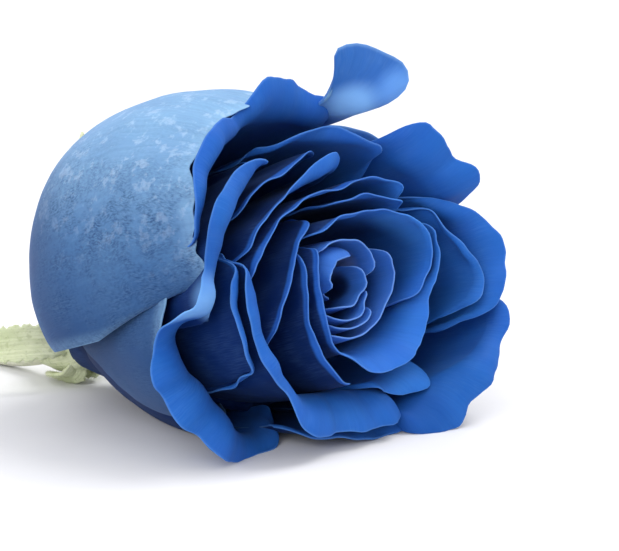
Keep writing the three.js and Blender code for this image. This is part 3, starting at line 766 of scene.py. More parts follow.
class SurfaceGroups:
    """The shader groups that the finishes share: streaks along a surface, mottling and a ragged margin."""

    def __init__(self) -> None:
        """Builds the three groups."""
        self.streaks = self._streaks()
        self.mottle = self._mottle()
        self.margin = self._margin()

    @staticmethod
    def _start(name: str, inputs: dict[str, float], output: str
               ) -> tuple[Graph, bpy.types.Node, bpy.types.Node]:
        """Starts a group.

        Args:
            name: the group's name.
            inputs: its number inputs and what they are if nothing is set.
            output: its one output.

        Returns:
            The graph, the node that gives the inputs and the node that takes the output.
        """
        tree = bpy.data.node_groups.new(name, "ShaderNodeTree")
        for key, value in inputs.items():
            socket = tree.interface.new_socket(key, in_out="INPUT", socket_type="NodeSocketFloat")
            socket.default_value = value
        tree.interface.new_socket(output, in_out="OUTPUT", socket_type="NodeSocketFloat")
        graph = Graph(tree)
        return graph, graph.node("NodeGroupInput"), graph.node("NodeGroupOutput")

    def _streaks(self) -> bpy.types.NodeTree:
        """Builds fibres and veins that run along a surface and wander a little.

        Returns:
            The group.
        """
        graph, given, out = self._start(
            "Streaks", {"Across": 0, "Along": 0, "Density": 2, "Stretch": 0.08, "Wander": 0.3}, "Streaks")
        wobble = graph.node("ShaderNodeTexNoise", {
            "W": given.outputs["Along"], "Scale": 0.25, "Detail": 2.0}, noise_dimensions="1D")
        swing = graph.math("SUBTRACT", wobble.outputs["Fac"], 0.5)
        bent = graph.math("ADD", given.outputs["Across"], graph.times(swing, given.outputs["Wander"]))
        across = graph.times(bent, given.outputs["Density"])
        along = graph.times(given.outputs["Along"], given.outputs["Stretch"])
        where = graph.node("ShaderNodeCombineXYZ", {"X": across, "Y": along})
        grain = graph.node("ShaderNodeTexNoise", {
            "Vector": where.outputs[0], "Scale": 1.0, "Detail": 4.0, "Roughness": 0.55})
        graph.tree.links.new(graph.spread(grain.outputs["Fac"], *NOISE_RANGE), out.inputs["Streaks"])
        return graph.tree

    def _mottle(self) -> bpy.types.NodeTree:
        """Builds soft clouds over a surface.

        Returns:
            The group.
        """
        graph, given, out = self._start("Mottle", {"Size": 8, "Softness": 0.5}, "Mottle")
        scale = graph.math("DIVIDE", 1 / MM, given.outputs["Size"])
        cloud = graph.noise(scale, 3.0, Roughness=given.outputs["Softness"])
        graph.tree.links.new(graph.spread(cloud, *NOISE_RANGE), out.inputs["Mottle"])
        return graph.tree

    def _margin(self) -> bpy.types.NodeTree:
        """Builds a mask that is 1 at a free margin and fades unevenly away from it.

        Returns:
            The group.
        """
        graph, given, out = self._start("Margin", {"Distance": 1, "Width": 0.6, "Unevenness": 0.5}, "Mask")
        swing = graph.math("SUBTRACT", graph.noise(220.0, 2.0), 0.5)
        uneven = graph.math("ADD", graph.times(swing, given.outputs["Unevenness"]), 1.0)
        reach = graph.times(given.outputs["Width"], uneven)
        share = graph.math("DIVIDE", given.outputs["Distance"], graph.math("MAXIMUM", reach, 0.01))
        graph.tree.links.new(graph.spread(share, 0, 1, 1, 0), out.inputs["Mask"])
        return graph.tree


def use(graph: Graph, group: bpy.types.NodeTree, **values: object) -> bpy.types.NodeSocket:
    """Places a shader group in a material.

    Args:
        graph: the material's graph.
        group: the group.
        values: its inputs, by name.

    Returns:
        The group's output.
    """
    return graph.node("ShaderNodeGroup", values, node_tree=group).outputs[0]


def new_material(name: str) -> tuple[bpy.types.Material, Graph, bpy.types.Node]:
    """Starts a material.

    Args:
        name: its name.

    Returns:
        The material, its graph and its surface shader.
    """
    material = bpy.data.materials.new(name)
    material.use_nodes = True
    graph = Graph(material.node_tree)
    return material, graph, material.node_tree.nodes["Principled BSDF"]


def set_shader(shader: bpy.types.Node, values: dict[str, object]) -> None:
    """Sets plain values of a surface shader.

    Args:
        shader: the shader.
        values: the values, by the name of their socket.
    """
    for key, value in values.items():
        shader.inputs[key].default_value = value


NAP_SCALE = 3500.0
NAP_RELIEF = 0.00005
VEIN_RELIEF = 0.0002
FIBRE_RELIEF = 0.00015
CLOUDS = {"Size": 14.0, "Softness": 0.55}
PATCHES = {"Size": 5.0, "Softness": 0.6}
VEINS = {"Density": 1.6, "Stretch": 0.06, "Wander": 0.8}
FINE_GRAIN = {"Density": 6.0, "Stretch": 0.3, "Wander": 0.4}
FROST_DRIFT = {"Size": 10.0, "Softness": 0.6}
FROST_LOW_SHADE = {"Size": 5.0, "Softness": 0.8}
FROST_FLECKS = {"Size": 2.6, "Softness": 0.75}
FROST_STROKES = {"Density": 3.3, "Stretch": 1.4, "Wander": 1.4}
GREEN_CLOUDS = {"Size": 6.0, "Softness": 0.6}
GREEN_SPECKS = {"Size": 0.9, "Softness": 0.5}
GREEN_FIBRES = {"Stretch": 0.1, "Wander": 0.4}


@dataclass(frozen=True)
class LightAndShadeSpot:
    """A spot of painted light where pale, or of painted shade where dark, on a fold: its middle and reach
    in metres, how strong it is, and its colour.

    It keeps its strength in the inner part of its reach.
    """

    place: tuple[float, float, float]
    reach: float
    share: float
    tint: Colour
    inner: float = 0.3


@dataclass(frozen=True)
class PetalFinish:
    """Dyed velvety petal: fine veins, soft clouds, pale margins and a paler outer face.

    The deep colour near the root and the lip shade are painted shade, partly dye. The frosting's rise, partly
    painted top light, the shaded foot and the painted-shade belt are heights over the ground in metres. The
    hem is millimetres from the margin. Ranges of rise run from 0 at the root through 0.5 at the crest to 1.
    """

    name: str
    deep: Colour
    body: Colour
    violet: Colour
    pale: Colour
    reverse: Colour
    reverse_share: float
    violet_share: float = 0.35
    grain_share: float = 0.07
    margin_width: float = 0.4
    margin_share: float = 0.3
    margin_rise: tuple[float, float] = (0.3, 0.48)
    margin_unevenness: float = 0.9
    vein_share: float = 0.08
    deep_until: float = 0.25
    deep_end: float = 0.47
    outer_depth: float = 0.0
    lip_shade: float = 0.0
    lip_shaded: tuple[float, float] = (0.5, 0.95)
    frost_and_top_light_share: float = 0.0
    frost_and_top_light_rise: tuple[float, float] = (0.024, 0.052)
    drift_share: float = 0.35
    shaded: tuple[float, float] = (0.01, 0.05)
    shaded_share: float = 0.85
    hem: tuple[float, float] = (0.6, 3.4)
    hem_share: float = 0.3
    belt: tuple[float, float] = (0.036, 0.052)
    belt_shares: tuple[float, float] = (0.9, 0.15)
    low_shade_share: float = 0.2
    flecked: tuple[float, float] = (0.62, 1.0)
    powder: Colour = (0.62, 0.74, 0.9)
    powder_share: float = 0.22
    sheen: float = 0.04
    roughness: float = 0.68
    patchy: float = 0.06
    vein_depth: float = 0.08
    nap_depth: float = 0.12
    spots: tuple[LightAndShadeSpot, ...] = ()

    def build(self, groups: SurfaceGroups) -> bpy.types.Material:
        """Makes the material.

        Args:
            groups: the shared shader groups.

        Returns:
            The material.
        """
        material, graph, shader = new_material(self.name)
        run = {"Across": graph.mark("across"), "Along": graph.mark("along")}
        veins = use(graph, groups.streaks, **run, **VEINS)
        fine = use(graph, groups.streaks, **run, **FINE_GRAIN)
        patches = use(graph, groups.mottle, **PATCHES)
        outside = graph.math("SUBTRACT", 1.0, graph.mark("inner"))
        colour = self._dye_and_painted_shade(graph, groups, outside)
        if self.frost_and_top_light_share:
            colour = self._frosted_and_top_lit(graph, groups, colour, outside)
        colour = graph.mix(graph.times(veins, self.vein_share), colour, self.deep)
        colour = graph.mix(graph.times(fine, patches, self.grain_share), colour, self.pale)
        colour = self._pale_margins_and_painted_spots(graph, groups, colour)
        graph.tree.links.new(colour, shader.inputs["Base Color"])
        height = graph.math("ADD", graph.times(veins, -0.6), graph.times(fine, 0.25))
        relief = graph.bump(height, self.vein_depth, VEIN_RELIEF)
        velvet = graph.bump(graph.noise(NAP_SCALE, 2.0), self.nap_depth, NAP_RELIEF, Normal=relief)
        graph.tree.links.new(velvet, shader.inputs["Normal"])
        rough = graph.spread(patches, 0, 1, self.roughness - self.patchy, self.roughness + self.patchy)
        graph.tree.links.new(rough, shader.inputs["Roughness"])
        set_shader(shader, {
            "Specular IOR Level": 0.1, "Sheen Weight": self.sheen, "Sheen Roughness": 0.45,
            "Sheen Tint": (0.35, 0.55, 1.0, 1), "Subsurface Weight": 0.12,
            "Subsurface Radius": (0.2, 0.5, 1.0), "Subsurface Scale": 0.0012})
        return material

    def _dye_and_painted_shade(self, graph: Graph, groups: SurfaceGroups, outside: bpy.types.NodeSocket
              ) -> bpy.types.NodeSocket:
        """Colours the petal: clouded on its inner face and paler outside. It is deep towards its root and low
        on its outer face, partly dye and partly painted shade, and darker at the foot of the lip, a painted
        shade.

        Args:
            graph: the material's graph.
            groups: the shared shader groups.
            outside: 1 on the petal's outer face and 0 on its inner face.

        Returns:
            The colour.
        """
        rise = graph.mark("rise")
        clouds = use(graph, groups.mottle, **CLOUDS)
        colour = graph.mix(graph.times(clouds, self.violet_share), self.body, self.violet)
        colour = graph.mix(graph.times(outside, self.reverse_share), colour, self.reverse)
        # Painted shade, partly dye: the deep colour rises from the root, further up the outer face, where the
        # hollows lie in shade.
        below = graph.math("SUBTRACT", rise, graph.times(outside, self.outer_depth))
        colour = graph.mix(graph.spread(below, self.deep_until, self.deep_end), self.deep, colour)
        # Painted shade at the foot of the lip, where it folds away from the crest.
        return graph.mix(graph.spread(rise, *self.lip_shaded, self.lip_shade, 0), colour, self.deep)

    def _frosted_and_top_lit(self, graph: Graph, groups: SurfaceGroups, colour: bpy.types.NodeSocket,
                 outside: bpy.types.NodeSocket) -> bpy.types.NodeSocket:
        """Lays the pale frosty bloom of the outer face over a colour, paler high up as painted top light,
        with a painted-shade foot and a mottled painted-shade belt broken by short darker streaks.

        Args:
            graph: the material's graph.
            groups: the shared shader groups.
            colour: the colour below.
            outside: 1 on the petal's outer face and 0 on its inner face.

        Returns:
            The frosted colour.
        """
        level = graph.node("ShaderNodeSeparateXYZ", {"Vector": graph.place()}).outputs["Z"]
        # Painted top light, partly real frosting: the outer face pales with height over the ground.
        frost_and_top_light = graph.spread(level, *self.frost_and_top_light_rise)
        drift = use(graph, groups.mottle, **FROST_DRIFT)
        cover = graph.math("ADD", frost_and_top_light, graph.times(drift, self.drift_share))
        colour = graph.mix(graph.times(cover, self.frost_and_top_light_share, outside), colour, self.pale)
        # Painted shade: the foot of the outer face darkens near the ground.
        colour = graph.mix(graph.spread(level, *self.shaded, self.shaded_share, 0), colour, self.deep)
        hem = graph.times(graph.spread(graph.mark("margin"), *self.hem, self.hem_share, 0), outside)
        colour = graph.mix(hem, colour, self.pale)
        # Painted shade: a mottled darker belt low on the outer face, with darker streaks in it.
        belt = graph.times(graph.spread(level, *self.belt, *self.belt_shares), outside)
        low_shade = graph.times(use(graph, groups.mottle, **FROST_LOW_SHADE), belt)
        strokes = use(graph, groups.streaks, Across=graph.mark("across"), Along=graph.mark("along"),
                      **FROST_STROKES)
        colour = graph.mix(graph.times(low_shade, self.low_shade_share), colour, self.deep)
        colour = graph.mix(graph.times(strokes, low_shade), colour, self.deep)
        flecks = graph.spread(use(graph, groups.mottle, **FROST_FLECKS), *self.flecked)
        return graph.mix(graph.times(flecks, frost_and_top_light, outside, self.powder_share), colour, self.powder)

    def _pale_margins_and_painted_spots(self, graph: Graph, groups: SurfaceGroups, colour: bpy.types.NodeSocket
              ) -> bpy.types.NodeSocket:
        """Pales the free margins, and lays the spots of painted light and painted shade over the folds.

        Args:
            graph: the material's graph.
            groups: the shared shader groups.
            colour: the colour below.

        Returns:
            The colour with pale margins and painted spots.
        """
        rim = use(graph, groups.margin, Distance=graph.mark("margin"), Width=self.margin_width,
                  Unevenness=self.margin_unevenness)
        lip = graph.spread(graph.mark("rise"), *self.margin_rise, 0, self.margin_share)
        colour = graph.mix(graph.times(rim, lip), colour, self.pale)
        # Spots of painted light and painted shade.
        for spot in self.spots:
            away = graph.node("ShaderNodeVectorMath", {0: graph.place(), 1: spot.place}, operation="DISTANCE")
            full = spot.inner * spot.reach
            cover = graph.spread(away.outputs["Value"], full, spot.reach, spot.share, 0)
            colour = graph.mix(cover, colour, spot.tint)
        return colour


@dataclass(frozen=True)
class GreenFinish:
    """Pale dried green of the calyx and the stem, with fibres along it."""

    name: str
    body: Colour
    light: Colour
    shade: Colour
    shade_share: float = 0.35
    fibre_density: float = 2.5
    fibre_depth: float = 0.5
    roughness: tuple[float, float] = (0.48, 0.66)

    def build(self, groups: SurfaceGroups) -> bpy.types.Material:
        """Makes the material.

        Args:
            groups: the shared shader groups.

        Returns:
            The material.
        """
        material, graph, shader = new_material(self.name)
        fibres = use(graph, groups.streaks, Across=graph.mark("across"), Along=graph.mark("along"),
                     Density=self.fibre_density, **GREEN_FIBRES)
        clouds = use(graph, groups.mottle, **GREEN_CLOUDS)
        specks = use(graph, groups.mottle, **GREEN_SPECKS)
        colour = graph.mix(clouds, self.body, self.light)
        colour = graph.mix(graph.times(fibres, self.shade_share), colour, self.shade)
        darkest = graph.spread(specks, 0.75, 1.0)
        colour = graph.mix(graph.times(darkest, self.shade_share), colour, self.shade)
        graph.tree.links.new(colour, shader.inputs["Base Color"])
        height = graph.math("ADD", fibres, graph.times(specks, 0.3))
        relief = graph.bump(height, self.fibre_depth, FIBRE_RELIEF)
        graph.tree.links.new(relief, shader.inputs["Normal"])
        graph.tree.links.new(graph.spread(clouds, 0, 1, *self.roughness), shader.inputs["Roughness"])
        set_shader(shader, {
            "Specular IOR Level": 0.3, "Subsurface Weight": 0.1, "Subsurface Radius": (0.8, 0.9, 0.5),
            "Subsurface Scale": 0.001})
        return material


@dataclass(frozen=True)
class FloorFinish:
    """Plain white studio floor with a very faint tooth."""

    name: str = "studio_floor"
    colour: Colour = (0.75, 0.75, 0.78)
    light: Colour = (0.77, 0.77, 0.795)
    tooth_scale: float = 60.0

    def build(self) -> bpy.types.Material:
        """Makes the material.

        Returns:
            The material.
        """
        material, graph, shader = new_material(self.name)
        tooth = graph.spread(graph.noise(self.tooth_scale, 3.0), *NOISE_RANGE)
        graph.tree.links.new(graph.mix(tooth, self.colour, self.light), shader.inputs["Base Color"])
        set_shader(shader, {"Roughness": 0.7, "Specular IOR Level": 0.1})
        return material


FINISHES = {
    PetalKind.HEART: PetalFinish(
        "petal_heart", deep=linear(8, 34, 84), body=linear(44, 98, 178), violet=linear(60, 96, 176),
        pale=linear(132, 168, 222), reverse=linear(48, 102, 184), reverse_share=0.5, margin_width=0.3,
        deep_until=0.34, outer_depth=0.05, spots=(
            # A pale spot of painted light on the cap and a dark spot of painted shade in the bud's mouth.
            LightAndShadeSpot((0.0512, 0.0058, 0.0282), 0.0048, 0.7, linear(128, 156, 224)),
            LightAndShadeSpot((0.053, 0.0038, 0.0246), 0.0034, 0.85, linear(6, 20, 56)))),
    PetalKind.INNER: PetalFinish(
        "petal_inner", deep=linear(3, 28, 76), body=linear(38, 102, 184), violet=linear(40, 84, 180),
        pale=linear(112, 158, 218), reverse=linear(22, 70, 150), reverse_share=0.7, margin_width=0.3,
        margin_share=0.2, outer_depth=0.28, spots=(
            # A dark spot of painted shade in a hollow and a pale spot of painted light on a lip.
            LightAndShadeSpot((0.0495, 0.0175, 0.03), 0.012, 0.6, linear(8, 36, 84)),
            LightAndShadeSpot((0.0549, 0.0167, 0.0352), 0.007, 0.5, linear(70, 140, 224)))),
    PetalKind.RIM: PetalFinish(
        "petal_rim", deep=linear(3, 32, 84), body=linear(30, 90, 168), violet=linear(36, 80, 174),
        pale=linear(112, 160, 218), reverse=linear(36, 98, 176), reverse_share=0.6, margin_share=0.22,
        outer_depth=0.32, lip_shade=0.3, spots=(
            # A pale spot of painted light on a band and two darker spots of painted shade.
            LightAndShadeSpot((0.0557, -0.0302, 0.0262), 0.0065, 0.8, linear(112, 162, 218)),
            LightAndShadeSpot((0.0563, -0.0272, 0.0341), 0.0065, 0.4, linear(22, 62, 122)),
            LightAndShadeSpot((0.0628, 0.0128, 0.0023), 0.009, 0.5, linear(14, 60, 130)))),
    PetalKind.OUTER: PetalFinish(
        "petal_outer", deep=linear(12, 46, 92), body=linear(44, 98, 170), violet=linear(52, 96, 172),
        pale=linear(142, 182, 216), reverse=linear(66, 108, 154), reverse_share=0.9, margin_width=0.7,
        vein_share=0.14, frost_and_top_light_share=0.5, sheen=0.2,
        spots=(
            # Two pale spots of painted light high on the outer petals.
            LightAndShadeSpot((0.0492, 0.0105, 0.0538), 0.0065, 0.8, linear(130, 182, 236)),
            LightAndShadeSpot((0.054, 0.0158, 0.0568), 0.0055, 0.6, linear(110, 166, 234)))),
}
CALYX_GREEN = GreenFinish(
    "calyx_green", body=linear(196, 204, 166), light=linear(216, 220, 190), shade=linear(150, 160, 112))
STEM_GREEN = GreenFinish(
    "stem_green", body=linear(206, 208, 182), light=linear(224, 224, 208), shade=linear(168, 172, 132),
    fibre_density=3.5)
CUT_WOOD = GreenFinish(
    "cut_wood", body=linear(222, 214, 184), light=linear(236, 230, 208), shade=linear(178, 164, 122),
    fibre_density=1.2, fibre_depth=0.8)


@dataclass
class Bloom:
    """The bloom: every petal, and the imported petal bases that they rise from."""

    groups: SurfaceGroups
    bases_rings: int = 40
    bases_sides: int = 120
    bases_folds: int = 9
    bases_depth: float = 0.5
    bases_pitch: float = 30
    bases_folded: tuple[float, float] = (2, 10)
    bases_grain: tuple[float, float] = (90, 50)
    bases_rise: float = 0.02

    def build(self) -> list[bpy.types.Object]:
        """Builds and dresses the bloom.

        Returns:
            Its pieces.
        """
        finishes = {kind: finish.build(self.groups) for kind, finish in FINISHES.items()}
        made = [self._petal(petal, seed, finishes[petal.kind]) for seed, petal in enumerate(PETALS)]
        bases = self._bases()
        bases.data.materials.append(finishes[PetalKind.INNER])
        made.append(bases)
        for piece in made:
            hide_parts("bloom")
            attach(piece, "root")
        return made

    def _petal(self, petal: Petal, seed: int, material: bpy.types.Material) -> bpy.types.Object:
        """Builds one petal.

        Args:
            petal: the petal.
            seed: sets where its waves fall.
            material: its finish.

        Returns:
            The petal's object.
        """
        grid, marks = petal.grid(seed)
        made = Slab(BODY.thickness, BODY.edge).build(f"petal_{petal.name}", grid, marks)
        made.data.materials.append(material)
        return made

    def _bases(self) -> bpy.types.Object:
        """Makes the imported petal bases: a body round the axis with overlapping folds wound about it.

        Returns:
            Their object.
        """
        profile = np.array(BODY.core, dtype=float)
        lengths = run_along(profile)
        where = np.linspace(0, lengths[-1], self.bases_rings)[1:-1]
        radius, height = (np.interp(where, lengths, profile[:, k]) for k in range(2))
        bearing = np.linspace(0, 360, self.bases_sides, endpoint=False)
        turn = bearing[None, :] / 360 * self.bases_folds + height[:, None] / self.bases_pitch
        fold = self.bases_depth * (turn % 1) * smooth(radius, *self.bases_folded)[:, None]
        rings = HEAD.rings(bearing, radius[:, None] - fold, height)
        points, faces = closed_rings(rings, HEAD.on_axis(profile[0, 1]), HEAD.on_axis(profile[-1, 1]))
        count = len(points)
        marks = {
            "across": np.resize(bearing / 360 * self.bases_grain[0], count),
            "along": np.linspace(0, self.bases_grain[1], count),
            "margin": np.full(count, NO_MARGIN),
            # A low rise gives the bases the deep root colour, partly painted shade.
            "rise": np.full(count, self.bases_rise),
            "inner": np.ones(count),
        }
        return mesh_object("petal_bases", rest_on_ground(points), faces, marks)


def closed_rings(rings: np.ndarray, low: np.ndarray, high: np.ndarray) -> tuple[np.ndarray, list]:
    """Closes a stack of rings with a point at each end.

    Args:
        rings: points by ring, place round the ring and coordinate, anticlockwise seen from the last ring.
        low: the point under the first ring, as one row.
        high: the point over the last ring, as one row.

    Returns:
        All points, and the faces that join them, facing outwards.
    """
    count, sides = rings.shape[:2]
    points = np.concatenate([rings.reshape(-1, 3), low, high])
    index = np.arange(count * sides).reshape(count, sides)
    after = np.roll(index, -1, axis=1)
    faces = np.stack([index[:-1], after[:-1], after[1:], index[1:]], axis=-1).reshape(-1, 4).tolist()
    bottom, top = count * sides, count * sides + 1
    faces += [[bottom, b, a] for a, b in zip(index[0].tolist(), after[0].tolist())]
    faces += [[top, a, b] for a, b in zip(index[-1].tolist(), after[-1].tolist())]
    return points, faces


@dataclass(frozen=True)
class Sepal:
    """One sepal at a bearing round the axis, with radius, height and half width along it.

    It is channelled along its middle, keeps a fine midrib below, and has small teeth at its margins.
    """

    name: str
    bearing: float
    ribs: tuple[tuple[float, float, float], ...]
    channel: float = 0.224
    least_width: float = 0.6
    midrib: float = 0.25
    midrib_width: float = 0.35
    tooth: float = 0.06
    tooth_waves: tuple[float, float] = (2.9, 5.3)
    taper: float = 2.5
    least_taper: float = 0.02
    tip: tuple[float, ...] = (0.15, 0.05, 0)
    columns: int = 15
    samples: int = 200
    spacing: float = 0.5
    grain_shift: float = 10

    def grid(self) -> tuple[np.ndarray, dict[str, np.ndarray]]:
        """Lays out the sepal's middle surface.

        Returns:
            The grid of points in millimetres, and what is marked on it by name.
        """
        table = np.array(self.ribs)
        fine = through(table, np.linspace(0, len(table) - 1, self.samples))
        run = run_along(fine[:, :2])
        rows = int(run[-1] / self.spacing)
        goals = np.concatenate([
            np.linspace(0, run[-1] - 2 * self.tip[0], rows), run[-1] - np.array(self.tip)])
        radius, height, width = (np.interp(goals, run, fine[:, k]) for k in range(3))
        spine = HEAD.point(np.full(len(goals), self.bearing), radius, height)
        along = np.gradient(spine, axis=0)
        along /= np.linalg.norm(along, axis=-1, keepdims=True)
        across = HEAD.point(np.array([self.bearing + 90]), np.ones(1), np.zeros(1))[0] - np.array(HEAD.seat)
        rise = -np.cross(along, across)
        side = np.sin(np.linspace(-math.pi / 2, math.pi / 2, self.columns))
        taper = np.sqrt(np.clip((run[-1] - goals) / self.taper, self.least_taper, 1))
        coarse, close = (goals * wave for wave in self.tooth_waves)
        notch = 1 + self.tooth * np.sin(coarse + self.bearing) + self.tooth * np.sin(close)
        reach = side[:, None] * (width * taper * notch)[None, :]
        hollow = np.abs(reach) ** 1.5 / np.sqrt(np.maximum(width, self.least_width))[None, :]
        midrib = self.midrib * np.exp(-(reach / self.midrib_width) ** 2) * taper[None, :]
        lift = self.channel * hollow - midrib
        grid = rest_on_ground(spine[None] + reach[..., None] * across + lift[..., None] * rise[None])
        marks = {
            "across": reach + self.grain_shift,
            "along": np.tile(goals, (self.columns, 1)),
            "margin": margin_distance(grid),
            "rise": np.tile(goals / run[-1], (self.columns, 1)),
        }
        return grid, marks


SEPALS = (
    Sepal("sepal_up", 0, (
        (3.4, -1.7, 2), (7.4, -1.4, 2.9), (12, 0.8, 3.5), (18, 3.8, 3.3), (25, 6.6, 2.5), (31.5, 8.9, 1.6),
        (37.4, 11, 0.7))),
    Sepal("sepal_far", 64, (
        (3.4, -1.7, 2), (7.4, -1.8, 2.9), (12, -3, 3.5), (16.6, -6, 3.2), (20, -10.6, 2.4), (22, -16, 1.5),
        (22.8, -21.5, 0.7))),
    Sepal("sepal_low_far", 134, (
        (3.4, -1.7, 1.8), (5.9, -3, 2.4), (6.1, -6, 2.3), (5.5, -9, 1.7), (4.8, -12.2, 0.7))),
    Sepal("sepal_low_near", 208, (
        (3.4, -1.7, 1.8), (5.8, -3, 2.4), (5.7, -6, 2.2), (5, -9, 1.6), (4.3, -12, 0.7))),
    Sepal("sepal_near", 280, (
        (3.4, -1.7, 2), (7.4, -2, 2.9), (11.6, -3.8, 3.4), (15, -7.6, 3), (16.8, -12.6, 2.2),
        (17.4, -17.6, 1.4), (17, -22, 0.7))),
)


@dataclass
class Calyx:
    """The hip under the bloom, its five folded-back sepals and the fine hairs on them."""

    groups: SurfaceGroups
    thickness: float = 0.7
    hip: tuple[tuple[float, float], ...] = (
        (0, -13.5), (2.2, -13.5), (3.1, -11), (4.3, -8), (4.9, -4), (5, -1.6), (4.6, -0.3), (0, -0.3))
    hip_sides: int = 64
    hip_rows: int = 40
    cap_rings: int = 5
    cap_spread: tuple[float, float] = (0.1, 0.95)
    ridge: float = 0.12
    ridged: tuple[float, float] = (-9, -3)
    hip_grain: float = 30
    hair_length: float = 0.55
    hair_density: float = 5.0

    def build(self) -> list[bpy.types.Object]:
        """Builds and dresses the calyx.

        Returns:
            Its pieces.
        """
        green = CALYX_GREEN.build(self.groups)
        sepals = [Slab(self.thickness).build(sepal.name, *sepal.grid()) for sepal in SEPALS]
        hip = self._hip()
        for piece in (*sepals, hip):
            piece.data.materials.append(green)
        hairs = Fuzz(self.hair_length, self.hair_density).grow("sepal_hairs", sepals, green)
        return [*sepals, hip, hairs]

    def _hip(self) -> bpy.types.Object:
        """Makes the hip, turned from its profile, with as many faint ridges as sepals.

        Returns:
            The hip's object.
        """
        profile = np.array(self.hip)
        bottom, top = profile[0, 1], profile[-1, 1]
        sides = through(profile[1:-1], np.linspace(0, len(profile) - 3, self.hip_rows))
        flat = np.linspace(*self.cap_spread, self.cap_rings)
        low = np.column_stack([flat * profile[1, 0], np.full(self.cap_rings, bottom)])
        high = np.column_stack([flat[::-1] * profile[-2, 0], np.full(self.cap_rings, top)])
        rows = np.concatenate([low, sides, high])
        bearing = np.linspace(0, 360, self.hip_sides, endpoint=False)
        waves = self.ridge * np.cos(np.radians(bearing * len(SEPALS)))[None, :]
        ridges = np.zeros((len(rows), self.hip_sides))
        ridges[self.cap_rings:-self.cap_rings] = waves * smooth(sides[:, 1], *self.ridged)[:, None]
        rings = HEAD.rings(bearing, rows[:, :1] + ridges, rows[:, 1])
        points, faces = closed_rings(rings, HEAD.on_axis(bottom), HEAD.on_axis(top))
        marks = {
            "across": np.concatenate([np.tile(bearing / 360 * self.hip_grain, len(rows)), [0, 0]]),
            "along": np.concatenate([np.repeat(rows[:, 1], self.hip_sides), [bottom, 0]]),
            "margin": np.full(len(points), NO_MARGIN),
        }
        return mesh_object("hip", points, faces, marks)


class NodeModifier:
    """A geometry node tree built in code, with named inputs, run once on an object."""

    def __init__(self, name: str, inputs: dict[str, tuple[str, object]]) -> None:
        """Starts the tree.

        Args:
            name: the tree's name.
            inputs: its inputs after the geometry: socket type and value by name.
        """
        self.tree = bpy.data.node_groups.new(name, "GeometryNodeTree")
        self.tree.interface.new_socket("Geometry", in_out="INPUT", socket_type="NodeSocketGeometry")
        self.values = {}
        for key, (kind, value) in inputs.items():
            socket = self.tree.interface.new_socket(key, in_out="INPUT", socket_type=kind)
            self.values[socket.identifier] = value
        self.tree.interface.new_socket("Geometry", in_out="OUTPUT", socket_type="NodeSocketGeometry")
        self.graph = Graph(self.tree)
        self.given = self.graph.node("NodeGroupInput")

    def end(self, geometry: bpy.types.NodeSocket) -> None:
        """Ends the tree: instances made real, then the material.

        Args:
            geometry: what the tree has made.
        """
        real = self.graph.node("GeometryNodeRealizeInstances", {"Geometry": geometry})
        dressed = self.graph.node("GeometryNodeSetMaterial", {
            "Geometry": real.outputs[0], "Material": self.given.outputs["Material"]})
        self.graph.node("NodeGroupOutput", {"Geometry": dressed.outputs[0]})

    def bake(self, source: bpy.types.Object, name: str) -> bpy.types.Object:
        """Runs the tree on an object and keeps the outcome as a plain mesh.

        Args:
            source: the object whose geometry goes in.
            name: the new piece's name.

        Returns:
            The new object.
        """
        modifier = source.modifiers.new(self.tree.name, "NODES")
        modifier.node_group = self.tree
        for identifier, value in self.values.items():
            modifier[identifier] = value
        evaluated = source.evaluated_get(bpy.context.evaluated_depsgraph_get())
        mesh = bpy.data.meshes.new_from_object(evaluated)
        source.modifiers.remove(modifier)
        mesh.name = name
        return in_scene(name, mesh)


